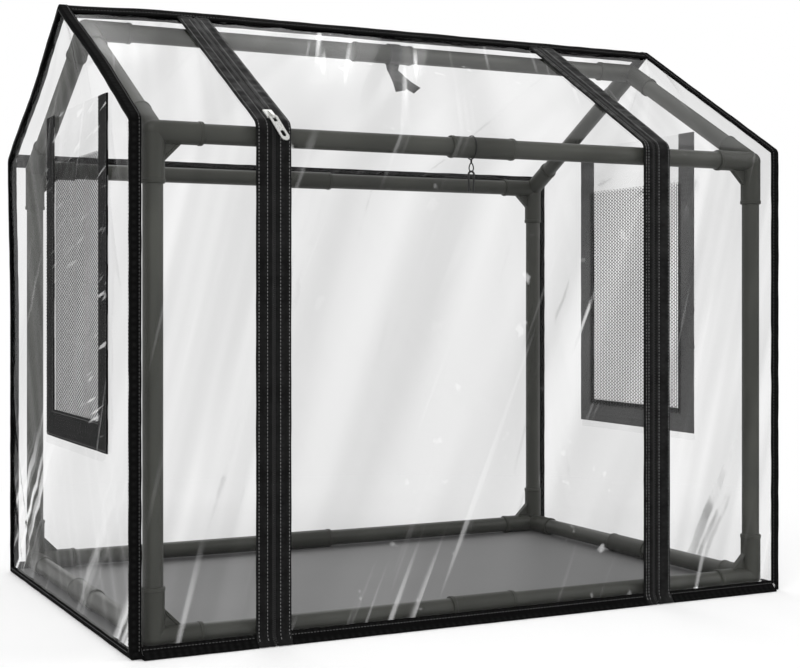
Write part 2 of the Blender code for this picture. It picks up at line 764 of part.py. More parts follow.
def add_net(side, sign):
    """Insect net behind the window: a grid of strands with a border sewn to the film."""
    window = WINDOWS[side]
    width = window["net_y1"] - window["net_y0"]
    height = window["net_z1"] - window["net_z0"]
    bm = bmesh.new()
    bmesh.ops.create_grid(bm, x_segments=NET_COLUMNS, y_segments=NET_ROWS, size=0.5)
    bmesh.ops.scale(bm, verts=bm.verts, vec=(width, height, 1))
    cells = bm.faces[:]
    bmesh.ops.inset_individual(bm, faces=cells, thickness=NET_STRAND / 2, use_even_offset=True)
    bmesh.ops.delete(bm, geom=cells, context="FACES_ONLY")
    rim = {vert for edge in bm.edges if edge.is_boundary for vert in edge.verts}
    for vert in rim:
        if abs(abs(vert.co.x) - width / 2) < FIT / 10:
            vert.co.x += math.copysign(NET_BORDER, vert.co.x)
        if abs(abs(vert.co.y) - height / 2) < FIT / 10:
            vert.co.y += math.copysign(NET_BORDER, vert.co.y)
    net = mesh_object(f"window_net_{side}", bm)
    solidify = net.modifiers.new("thickness", "SOLIDIFY")
    solidify.thickness = NET_THICKNESS
    solidify.offset = 0
    x = sign * (FILM_X - FILM - FIT - NET_THICKNESS / 2)
    net.location = (x, (window["net_y0"] + window["net_y1"]) / 2, (window["net_z0"] + window["net_z1"]) / 2)
    net.rotation_euler = (math.pi / 2, 0, math.pi / 2)
    finish(net, NET_YARN, ROOT)


def add_window(side, sign):
    """Hook-and-loop strips round three sides of the window, and the flap that they close."""
    window = WINDOWS[side]
    outline = [
        (window["strip_y0"], window["strip_z0"]),
        (window["strip_y1"], window["strip_z0"]),
        (window["strip_y1"], window["top"]),
        (window["net_y1"], window["top"]),
        (window["net_y1"], window["net_z0"]),
        (window["net_y0"], window["net_z0"]),
        (window["net_y0"], window["top"]),
        (window["strip_y0"], window["top"]),
    ]
    outer = FILM_X + SEAM
    strips = prism(f"window_strips_{side}", outline, (sign * (FILM_X + FIT), sign * outer))
    finish(strips, STRIP_FABRIC, ROOT)

    flap = box_outline(
        window["strip_y0"], window["strip_y1"], window["strip_z0"] - FLAP_HEM, window["top"]
    )
    span = (sign * (outer + FIT), sign * (outer + FIT + FLAP_THICKNESS))
    finish(prism(f"window_flap_{side}", flap, span), CLEAR_FILM, FLAPS[side])


# Strap and tie

def ring_band(name, width, thickness, axis_point):
    """A flat loop that lies round a coupler."""
    inner = SLEEVE_R + FIT
    profile = [
        (inner + thickness, width / 2),
        (inner + thickness, -width / 2),
        (inner, -width / 2),
        (inner, width / 2),
    ]
    ring = turned(name, profile)
    ring.rotation_euler = (0, math.pi / 2, 0)
    ring.location = axis_point
    return ring


def strap_tail(name, start, run):
    """One hanging end of the strap, from a point along a direction."""
    along = run.normalized()
    across = (Vector((1, 0, 0)) - along * along.x).normalized()
    place = Matrix((across, along, across.cross(along))).transposed().to_4x4()
    bm = bmesh.new()
    bmesh.ops.create_cube(bm, size=1)
    bmesh.ops.scale(bm, verts=bm.verts, vec=(STRAP_WIDTH, run.length, STRAP_THICKNESS))
    bmesh.ops.transform(bm, verts=bm.verts, matrix=Matrix.Translation(start + run / 2) @ place)
    return mesh_object(name, bm)


def add_strap():
    """Webbing strap looped round the ridge coupler, sewn below it and hanging in two tails."""
    axis = Vector((STRAP_X, 0, RIDGE_Z))
    strap = ring_band("ridge_tie", STRAP_WIDTH, STRAP_THICKNESS, axis)
    top = -(SLEEVE_R + FIT + STRAP_THICKNESS / 2)
    outline = box_outline(-STRAP_WIDTH / 2, STRAP_WIDTH / 2, top - STRAP_NECK, top)
    outline = [(x + axis.x, z + axis.z) for x, z in outline]
    neck = prism("strap_neck", outline, (-STRAP_THICKNESS, STRAP_THICKNESS), "XZ")
    combine(strap, neck, "UNION")
    foot = axis + Vector((0, 0, top - STRAP_NECK + STRAP_THICKNESS))
    for number, run in enumerate(STRAP_TAILS):
        combine(strap, strap_tail(f"strap_tail_{number}", foot, run), "UNION")
    mesh = baked(strap)
    turn = strap.rotation_euler.to_matrix().to_4x4()
    bpy.data.objects.remove(strap, do_unlink=True)
    mesh.transform(turn)
    whole = bpy.data.objects.new("ridge_tie", mesh)
    whole.location = axis
    finish(whole, STRAP_WEBBING, RIDGE_TIE)


def wire(name, points, radius, closed):
    """A round wire along points, as a mesh."""
    curve = bpy.data.curves.new(name, "CURVE")
    curve.dimensions = "3D"
    curve.bevel_depth = radius
    curve.bevel_resolution = 1
    curve.use_fill_caps = not closed
    spline = curve.splines.new("POLY")
    spline.points.add(len(points) - 1)
    for point, position in zip(spline.points, points):
        point.co = (*position, 1)
    spline.use_cyclic_u = closed
    guide = bpy.data.objects.new(name, curve)
    mesh = baked(guide)
    bpy.data.objects.remove(guide, do_unlink=True)
    return bpy.data.objects.new(name, mesh)


def add_tie():
    """Wire tie round the front eave coupler: a ring, a neck, a drop-shaped loop and an open cord loop."""
    reach = SLEEVE_R + FIT + TIE_WIRE
    ring = [
        (0, reach * math.sin(turn), -reach * math.cos(turn))
        for turn in (2 * math.pi * step / 20 for step in range(20))
    ]
    tie = wire("eave_tie", ring, TIE_WIRE, True)
    apex = -(reach + TIE_NECK)
    neck = wire("tie_neck", [(0, 0, -reach), (0, 0, apex - TIE_WIRE)], TIE_WIRE * 1.2, False)
    half = TIE_LOOP_WIDTH / 2
    drop = []
    for step in range(16):
        turn = 2 * math.pi * step / 16
        depth = (1 - math.cos(turn)) / 2
        drop.append((half * math.sin(turn) * (0.6 + 0.4 * depth), 0, apex - TIE_DROP * depth))
    loop = wire("tie_drop", drop, TIE_WIRE, True)
    crown = apex - TIE_DROP
    legs = [(-half * 0.8, 0, crown - TIE_LEG)]
    for step in range(9):
        turn = math.pi - math.pi * step / 8
        legs.append((half * math.cos(turn), 0, crown - half + half * math.sin(turn)))
    legs.append((half * 0.8, 0, crown - TIE_LEG))
    cord = wire("tie_cord_loop", legs, TIE_CORD, False)
    for part in (neck, loop, cord):
        combine(tie, part, "UNION")
    mesh = baked(tie)
    bpy.data.objects.remove(tie, do_unlink=True)
    whole = bpy.data.objects.new("eave_tie", mesh)
    whole.location = (TIE_X, -POST_Y, EAVE_Z)
    finish(whole, TIE_PLASTIC, EAVE_TIE, smooth=True)


# Joints: each empty lies on its joint's axis

ROOT = add_empty("greenhouse_base", (0, 0, 0))
HINGE_OFFSET = SEAM + TEETH_HEIGHT + FIT
DOOR_ROOF = add_empty("door_roof_hinge", (0, *roof_point(RIDGE_EDGE_RUN, HINGE_OFFSET)), ROOT)
DOOR_FRONT = add_empty("door_fold_hinge", (0, *roof_point(DOOR_FOLD_RUN, HINGE_OFFSET)), DOOR_ROOF)
PULL = add_empty("zip_pull_hinge", pull_hinge(), DOOR_FRONT)
FLAPS = {}
for SIDE, SIGN in (("left", -1), ("right", 1)):
    FLAP_X = SIGN * (FILM_X + SEAM + FIT + FLAP_THICKNESS + FIT / 3)
    FLAPS[SIDE] = add_empty(
        f"window_flap_hinge_{SIDE}", (FLAP_X, WINDOW_CENTRE_Y[SIDE], WINDOWS[SIDE]["top"]), ROOT
    )
RIDGE_TIE = add_empty("ridge_tie_hinge", (STRAP_X, 0, RIDGE_Z), ROOT)
EAVE_TIE = add_empty("eave_tie_hinge", (TIE_X, -POST_Y, EAVE_Z), ROOT)


def add_frame():
    """Posts, rails, rafters and the ten fittings that hold them."""
    x_arm = Vector((1, 0, 0))
    y_arm = Vector((0, 1, 0))
    z_arm = Vector((0, 0, 1))
    low_mesh = fitting_mesh("bottom_fitting", [x_arm, y_arm, z_arm], [(x_arm, z_arm)])
    eave_mesh = fitting_mesh("eave_fitting", [x_arm, -z_arm, RAFTER], [(x_arm, -z_arm)])
    down = Vector((0, RAFTER.y, -RAFTER.z))
    ridge_mesh = fitting_mesh("ridge_fitting", [x_arm, down, Vector((0, -down.y, down.z))], [])
    stop = FITTING_CORE + FIT
    for x_name, x_sign in (("left", -1), ("right", 1)):
        x = x_sign * POST_X
        peak = Vector((x, 0, RIDGE_Z))
        add_fitting(f"ridge_fitting_{x_name}", ridge_mesh, peak, -x_sign, 1)
        for y_name, y_sign in (("front", -1), ("back", 1)):
            corner = f"{y_name}_{x_name}"
            foot = Vector((x, y_sign * POST_Y, BASE_Z))
            eave = Vector((x, y_sign * POST_Y, EAVE_Z))
            add_fitting(f"bottom_fitting_{corner}", low_mesh, foot, -x_sign, -y_sign)
            add_fitting(f"eave_fitting_{corner}", eave_mesh, eave, -x_sign, -y_sign)
            add_pipe(f"post_{corner}", foot + z_arm * stop, eave - z_arm * stop)
            slope = (peak - eave).normalized()
            add_pipe(f"rafter_{corner}", eave + slope * stop, peak - slope * stop)
        add_rail(
            f"bottom_rail_{x_name}", "front", "back", (x, -POST_Y, BASE_Z), (x, POST_Y, BASE_Z)
        )
    for y_name, y_sign in (("front", -1), ("back", 1)):
        y = y_sign * POST_Y
        add_rail(f"bottom_rail_{y_name}", "left", "right", (-POST_X, y, BASE_Z), (POST_X, y, BASE_Z))
        add_rail(f"eave_rail_{y_name}", "left", "right", (-POST_X, y, EAVE_Z), (POST_X, y, EAVE_Z))
    add_rail("ridge_rail", "left", "right", (-POST_X, 0, RIDGE_Z), (POST_X, 0, RIDGE_Z))


def centre_on_ground():
    """Shift the base so that the bounding box is centred on the origin and stands on Z = 0."""
    bpy.context.view_layer.update()
    graph = bpy.context.evaluated_depsgraph_get()
    points = []
    for obj in PARTS.objects:
        if obj.type == "EMPTY" or obj.hide_render:
            continue
        evaluated = obj.evaluated_get(graph)
        mesh = evaluated.to_mesh()
        points += [evaluated.matrix_world @ vert.co for vert in mesh.vertices]
        evaluated.to_mesh_clear()
    for axis in (0, 1):
        middle = (min(p[axis] for p in points) + max(p[axis] for p in points)) / 2
        ROOT.location[axis] -= middle


add_frame()
add_fixed_film()
for SIDE, SIGN in (("left", -1), ("right", 1)):
    add_gable(SIDE, SIGN)
    add_net(SIDE, SIGN)
    add_window(SIDE, SIGN)
add_long_seams()
add_zips()
add_door_film()
add_slider()
add_pull()
add_strap()
add_tie()
centre_on_ground()
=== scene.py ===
"""Looks of the indoor mini greenhouse: a pipe frame inside a sewn cover of clear film.

Metres, +Z up. The door faces -Y, the gables face -X and +X.
"""

import logging
import math
from dataclasses import dataclass
from enum import Enum
from typing import Callable, Iterable, Sequence

import bmesh
import bpy
import numpy as np
from mathutils import Matrix, Vector, noise


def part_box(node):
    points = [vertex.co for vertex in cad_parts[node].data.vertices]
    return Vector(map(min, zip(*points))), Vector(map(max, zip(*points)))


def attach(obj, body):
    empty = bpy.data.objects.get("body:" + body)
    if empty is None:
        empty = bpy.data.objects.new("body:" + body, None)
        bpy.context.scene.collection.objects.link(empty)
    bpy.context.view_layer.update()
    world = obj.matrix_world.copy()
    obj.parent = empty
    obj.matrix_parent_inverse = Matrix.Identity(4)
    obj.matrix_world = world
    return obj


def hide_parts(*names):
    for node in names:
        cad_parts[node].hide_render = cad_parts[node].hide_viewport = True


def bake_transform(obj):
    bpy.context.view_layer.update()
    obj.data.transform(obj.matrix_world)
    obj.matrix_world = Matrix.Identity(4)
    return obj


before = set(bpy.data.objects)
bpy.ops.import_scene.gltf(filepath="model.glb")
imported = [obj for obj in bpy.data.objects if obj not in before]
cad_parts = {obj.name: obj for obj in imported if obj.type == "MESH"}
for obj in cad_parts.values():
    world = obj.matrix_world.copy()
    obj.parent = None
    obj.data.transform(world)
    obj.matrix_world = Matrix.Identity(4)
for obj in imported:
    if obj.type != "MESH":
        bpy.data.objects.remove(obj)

log = logging.getLogger("greenhouse")
Piece = bpy.types.Object
Tree = bpy.types.NodeTree
Node = bpy.types.Node
Socket = bpy.types.NodeSocket
Pair = tuple[float, float]
Box = tuple[float, float, float, float]  # lowest and highest Y, then lowest and highest Z
Outline = Callable[[float], list[Pair]]  # a line's Y and Z, at a height above the film
Lift = Callable[[float, float], float]  # height at an X and a distance along an outline

SOFT_SLOTS = ("clear_film", "binding_fabric", "zip_fabric", "strip_fabric", "net_yarn")
WEAVE = "weave"  # each sheet's and tape's map of its real width and length
WAVE_PERIOD = math.pi / 10  # of Blender's wave texture at scale 1
SHEET_SMOOTH = 180.0
TAPE_STEP = 0.006
STITCH_PITCH = 0.0031
STITCH_BOW = ((-0.31, -0.3), (-0.18, 0.4), (0.18, 0.4), (0.31, -0.3))  # by pitch, by thickness
TAPE_THREAD, ZIP_THREAD_THICK = 0.0006, 0.0007
NOISE_SEED = 7  # without it the clock seeds the vector noise of the seams' waves
UP = Vector((0, 0, 1))


class Side(Enum):
    """The two gables, by the sign of their X."""

    LEFT = -1
    RIGHT = 1

    @property
    def word(self) -> str:
        """The side's name, as the frame's nodes spell it."""
        return self.name.lower()


# Lines


def lengths(line: np.ndarray) -> np.ndarray:
    """Distance along a line, at each of its points."""
    return np.concatenate([[0], np.cumsum(np.linalg.norm(np.diff(line, axis=0), axis=1))])


def at_x(x: float, line: np.ndarray) -> np.ndarray:
    """The points of a line in Y and Z, placed at an X."""
    return np.column_stack([np.full(len(line), x), line])


def level(xs: np.ndarray, y: float, z: float) -> np.ndarray:
    """Points along X, all at one Y and Z."""
    return np.column_stack([xs, np.full(len(xs), y), np.full(len(xs), z)])


def outward(line: np.ndarray) -> np.ndarray:
    """Find the way that a line faces.

    Args:
        line: its points, as Y and Z.

    Returns:
        A direction of length 1 for each point, to the left of the way ahead.
    """
    ahead = np.gradient(line, axis=0)
    ahead /= np.linalg.norm(ahead, axis=1)[:, None]
    return np.column_stack([-ahead[:, 1], ahead[:, 0]])


def shares(points: Sequence[Pair], step: float) -> list[int]:
    """Into how many parts each stretch of a line goes, for none to be longer than a step."""
    return [max(1, math.ceil(math.dist(a, b) / step)) for a, b in zip(points, points[1:])]


def dense(points: Sequence[Pair], counts: Sequence[int]) -> np.ndarray:
    """Divide each stretch of a line.

    Args:
        points: the line's corners.
        counts: into how many parts each stretch goes.

    Returns:
        The line's points, as an array.
    """
    line = [np.linspace(a, b, n, endpoint=False) for a, b, n in zip(points, points[1:], counts)]
    return np.vstack([*line, [points[-1]]])


def crease(u: float, v: float, seed: float, long: float = 0.22, wide: float = 0.022) -> float:
    """Height of folded film at a place, from -1 to 1.

    Args:
        u: place along the creases, in metres.
        v: place across them.
        seed: what makes this panel's creases its own.
        long: the usual length of a crease.
        wide: from one crease to the next.

    Returns:
        The height.
    """
    fine = noise.noise(Vector((u / long, v / wide, seed)))
    broad = noise.noise(Vector((u / long / 2, v / wide / 3, seed + 9)))
    return 0.55 * math.copysign(abs(fine) ** 0.7, fine) + 0.9 * broad


# Nodes


def linear(colour: str) -> tuple[float, float, float, float]:
    """Turn an sRGB hex colour into linear light.

    Args:
        colour: such as "#4A4B45".

    Returns:
        Red, green, blue and an alpha of 1.
    """
    parts = [int(colour[at:at + 2], 16) / 255 for at in (1, 3, 5)]
    light = [c / 12.92 if c <= 0.04045 else ((c + 0.055) / 1.055) ** 2.4 for c in parts]
    return (light[0], light[1], light[2], 1.0)


def add_node(tree: Tree, kind: str, inputs: dict | None = None, **settings: object) -> Node:
    """Add a shader node with its settings and links.

    Args:
        tree: where the node goes.
        kind: its Blender type, without the "ShaderNode" in front.
        inputs: for each input's name or number, a value to set, a socket to link, or a
            node whose first output is linked.
        settings: the node's own properties.

    Returns:
        The node.
    """
    made = tree.nodes.new(f"ShaderNode{kind}")
    for key, value in settings.items():
        setattr(made, key, value)
    for key, value in (inputs or {}).items():
        source = value.outputs[0] if isinstance(value, Node) else value
        if isinstance(source, Socket):
            tree.links.new(source, made.inputs[key])
        else:
            made.inputs[key].default_value = source
    return made


def bare_tree(owner: bpy.types.Material | bpy.types.World) -> Tree:
    """Clear a material or a world for its own nodes.

    Args:
        owner: what the nodes belong to.

    Returns:
        Its node tree, with nothing in it.
    """
    owner.use_nodes = True
    owner.node_tree.nodes.clear()
    return owner.node_tree


# Meshes


def linked(name: str, data: bpy.types.ID) -> Piece:
    """Make an object and link it to the scene.

    Args:
        name: the object's name.
        data: its mesh, curve, camera or light.

    Returns:
        The object.
    """
    made = bpy.data.objects.new(name, data)
    bpy.context.scene.collection.objects.link(made)
    return made


def mesh_piece(name: str, points: Iterable, faces: Iterable, smooth: float = 40.0) -> Piece:
    """Make an object from points and faces.

    Args:
        name: the piece's name.
        points: its corners, in metres.
        faces: the corners of each face, by number.
        smooth: the angle in degrees under which neighbouring faces shade as one.

    Returns:
        The object, linked to the scene.
    """
    mesh = bpy.data.meshes.new(name)
    corners = [tuple(map(float, point)) for point in points]
    mesh.from_pydata(corners, [], [tuple(map(int, face)) for face in faces])
    mesh.shade_smooth()
    mesh.set_sharp_from_angle(angle=math.radians(smooth))
    return linked(name, mesh)


def woven(
    name: str, grid: np.ndarray, ring: bool = False, round_trip: bool = False, smooth: float = 40.0
) -> Piece:
    """Make a surface over a grid of points, with a map of its real width and length in metres.

    Args:
        name: the piece's name.
        grid: points, as rows across and places along.
        ring: the rows close on themselves, as a band with thickness does.
        round_trip: the places along close on themselves, as a hoop does.
        smooth: as for mesh_piece.

    Returns:
        The object. A ring that is open along gets a face on each end.
    """
    rows, places = grid.shape[:2]
    along, wide = lengths(grid.mean(0)), lengths(grid[:, places // 2])
    faces, corners = [], []
    for row in range(rows if ring else rows - 1):
        for here in range(places if round_trip else places - 1):
            below, after = (row + 1) % rows, (here + 1) % places
            upper, lower = row * places, below * places
            faces.append((upper + here, upper + after, lower + after, lower + here))
            u0, v0 = along[here], wide[row]
            u1 = along[after] if after else along[-1] + along[1]
            v1 = wide[below] if below else wide[-1] + 0.001
            corners += [(u0, v0), (u1, v0), (u1, v1), (u0, v1)]
    if ring and not round_trip:
        for here in (0, places - 1):
            faces.append([row * places + here for row in range(rows)])
            corners += [(along[here], wide[row]) for row in range(rows)]
    made = mesh_piece(name, grid.reshape(-1, 3), faces, smooth)
    layer = made.data.uv_layers.new(name=WEAVE)
    layer.data.foreach_set("uv", np.array(corners, np.float32).ravel())
    if ring:
        flip = bmesh.new()
        flip.from_mesh(made.data)
        bmesh.ops.recalc_face_normals(flip, faces=flip.faces)
        flip.to_mesh(made.data)
        flip.free()
    return made


def joined(name: str, pieces: Sequence[Piece]) -> Piece:
    """Join pieces into one.

    Args:
        name: the name of what they become.
        pieces: what to join. They are used up.

    Returns:
        The joined object.
    """
    bpy.ops.object.select_all(action="DESELECT")
    for piece in pieces:
        piece.select_set(True)
    bpy.context.view_layer.objects.active = pieces[0]
    bpy.ops.object.join()
    pieces[0].name = name
    pieces[0].data.name = name
    return pieces[0]


def swept(
    name: str,
    outline: Outline,
    section: Sequence[Pair],
    step: float,
    closed: bool = False,
    lift: Lift | None = None,
    ring: bool = True,
    smooth: float = 40.0,
) -> Piece:
    """Carry a section along an outline that lies across X.

    Args:
        name: the piece's name.
        outline: gives the outline at a height above the film.
        section: the section's corners, as X and height above the film.
        step: the longest stretch along the outline.
        closed: the outline is a loop.
        lift: further height at an X and a distance along the outline.
        ring: the section is a closed shape.
        smooth: as for mesh_piece.

    Returns:
        The object.
    """

    def whole(height: float) -> list[Pair]:
        """The outline at a height, back to its start if it is a loop."""
        return outline(height) + (outline(height)[:1] if closed else [])

    counts = shares(whole(0.0), step)
    run = lengths(dense(whole(0.0), counts))
    rows = []
    for x, height in section:
        line = dense(whole(height), counts)
        if lift:
            line = line + outward(line) * np.array([[lift(x, s)] for s in run])
        rows.append(at_x(x, line[:-1] if closed else line))
    return woven(name, np.array(rows), ring=ring, round_trip=closed, smooth=smooth)


def along_x(name: str, section: Sequence[Pair], span: Pair) -> Piece:
    """Carry a closed section along X.

    Args:
        name: the piece's name.
        section: its corners, as Y and Z.
        span: where it starts and ends.

    Returns:
        The object.
    """
    xs = np.linspace(*span, max(2, math.ceil(abs(span[1] - span[0]) / TAPE_STEP) + 1))
    return woven(name, np.array([level(xs, y, z) for y, z in section]), ring=True)


def pucker(piece: Piece, height: float, length: float, seed: float) -> Piece:
    """Give sewn tape the slight waves that a seam draws into it.

    Args:
        piece: the piece, whose points are moved.
        height: how far at most, in metres.
        length: the distance from wave to wave.
        seed: what makes this piece's waves its own.

    Returns:
        The piece.
    """
    for vertex in piece.data.vertices:
        vertex.co += noise.noise_vector(vertex.co / length + Vector((seed, 0, 0))) * height
    return piece


def stitches(name: str, line: np.ndarray, facing: object, thick: float) -> Piece:
    """Make a row of stitches that dip into the cloth at both ends.

    Args:
        name: the row's name.
        line: points along the row, in metres.
        facing: the cloth's outward direction, one for the row or one for each point.
        thick: the thread's thickness.

    Returns:
        The row, as one object.
    """
    facing = np.broadcast_to(np.asarray(facing, float), line.shape)
    run = lengths(line)
    points, faces = [], []
    for start in np.arange(STITCH_PITCH / 2, run[-1] - STITCH_PITCH / 2, STITCH_PITCH):
        middle, after, out = (
            np.array([np.interp(at, run, values[:, axis]) for axis in range(3)])
            for at, values in ((start, line), (start + STITCH_PITCH / 3, line), (start, facing))
        )
        ahead = after - middle
        ahead /= np.linalg.norm(ahead)
        out /= np.linalg.norm(out)
        across = np.cross(ahead, out) * thick / 2
        first = len(points)
        for share, rise in STITCH_BOW:
            knee = middle + ahead * share * STITCH_PITCH + out * rise * thick
            points += [knee - across, knee + out * thick * 0.5, knee + across]
        for a in range(first, len(points) - 3, 3):
            faces += [(a, a + 1, a + 4, a + 3), (a + 1, a + 2, a + 5, a + 4)]
    return mesh_piece(name, points, faces, 80)


def dress(piece: Piece, finish: "Finish") -> None:
    """Give a piece its only material.

    Args:
        piece: the piece, or a node of the frame.
        finish: what it is made of.
    """
    piece.data.materials.clear()
    piece.data.materials.append(finish.material())


def place(
    piece: Piece,
    finish: "Finish",
    slot: str,
    body: str = "greenhouse",
    stands_for: Sequence[str] = (),
    bends: tuple[str, Vector, Vector] | None = None,
) -> Piece:
    """Dress a piece, and tie it to its body or, when bends are given, fix it in place.

    Args:
        piece: the piece, modelled about the middle of the frame.
        finish: what it is made of.
        slot: the name of its material slot, used only to tell whether the piece settles with the
            cover.
        body: the body that it moves with, when no bends are given.
        stands_for: the frame's nodes that it replaces.
        bends: a second body and the two points between which the piece would bend over to it. Only
            whether they are given is read: the piece is then fixed in place and not bent.

    Returns:
        The piece.
    """
    if slot in SOFT_SLOTS:
        points = np.empty(len(piece.data.vertices) * 3)
        piece.data.vertices.foreach_get("co", points)
        piece.data.vertices.foreach_set("co", COVER.settled(points.reshape(-1, 3)).ravel())
    shift = Vector((0, COVER.middle, 0))
    piece.data.transform(Matrix.Translation(shift))
    dress(piece, finish)
    if bends:
        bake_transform(piece)
    else:
        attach(piece, body)
    if stands_for:
        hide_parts(*stands_for)
    log.info("%s: %s, %d faces", piece.name, finish.name, len(piece.data.polygons))
    return piece


# Finishes


@dataclass(frozen=True)
class Finish:
    """What a piece is made of and how its surface was made."""

    name: str

    def material(self) -> bpy.types.Material:
        """Find the Blender material, or make it on first use.

        Returns:
            The material.
        """
        made = bpy.data.materials.get(self.name)
        if made is None:
            made = bpy.data.materials.new(self.name)
            tree = bare_tree(made)
            add_node(tree, "OutputMaterial", {"Surface": self.surface(tree)})
        return made

    def surface(self, tree: Tree) -> Node:
        """The shader that the surface ends in."""
        raise NotImplementedError


@dataclass(frozen=True)
class PowderCoatedSteel(Finish):
    """Thin steel tube with baked polyester powder: satin, with a faint orange peel."""

    colour: str = "#383934"
    worn: str = "#42433D"
    peel_mm: float = 1.6

    def surface(self, tree: Tree) -> Node:
        """Give the tube slight colour drift, orange peel and a few paler rubbed patches.

        Args:
            tree: where the nodes go.

        Returns:
            The shader.
        """
        where = add_node(tree, "TexCoord").outputs["Object"]
        peel = {"Vector": where, "Scale": 1000 / self.peel_mm, "Detail": 2.0}
        peel = add_node(tree, "TexNoise", peel)
        drift = add_node(tree, "TexNoise", {"Vector": where, "Scale": 18.0, "Detail": 4.0})
        rub = add_node(tree, "MapRange", {"Value": drift, "From Min": 0.42, "From Max": 0.72})
        tint = {0: rub, 6: linear(self.colour), 7: linear(self.worn)}
        look = {
            "Base Color": add_node(tree, "Mix", tint, data_type="RGBA").outputs[2],
            "Roughness": add_node(
                tree, "MapRange", {"Value": drift, "To Min": 0.36, "To Max": 0.52}
            ),
            "Normal": add_node(
                tree, "Bump", {"Height": peel, "Strength": 0.35, "Distance": 0.00008}
            ),
            "Specular IOR Level": 0.32,
        }
        return add_node(tree, "BsdfPrincipled", look)


@dataclass(frozen=True)
class MouldedPolypropylene(Finish):
    """Injection-moulded polypropylene with a spark-eroded grain: dull, with a fine speckle."""

    colour: str = "#363731"
    dark: str = "#2F302B"
    grain_mm: float = 0.45  # about twice the real grain, so that it shows

    def surface(self, tree: Tree) -> Node:
        """Give the moulding a grain that catches light in specks.

        Args:
            tree: where the nodes go.

        Returns:
            The shader.
        """
        where = add_node(tree, "TexCoord").outputs["Object"]
        grain = {"Vector": where, "Scale": 1000 / self.grain_mm, "Detail": 3.0}
        grain = add_node(tree, "TexNoise", grain)
        cloud = add_node(tree, "TexNoise", {"Vector": where, "Scale": 60.0, "Detail": 3.0})
        tint = {0: grain, 6: linear(self.dark), 7: linear(self.colour)}
        look = {
            "Base Color": add_node(tree, "Mix", tint, data_type="RGBA").outputs[2],
            "Roughness": add_node(
                tree, "MapRange", {"Value": cloud, "To Min": 0.42, "To Max": 0.6}
            ),
            "Normal": add_node(
                tree, "Bump", {"Height": grain, "Strength": 0.3, "Distance": 0.00006}
            ),
            "Specular IOR Level": 0.3,
        }
        return add_node(tree, "BsdfPrincipled", look)


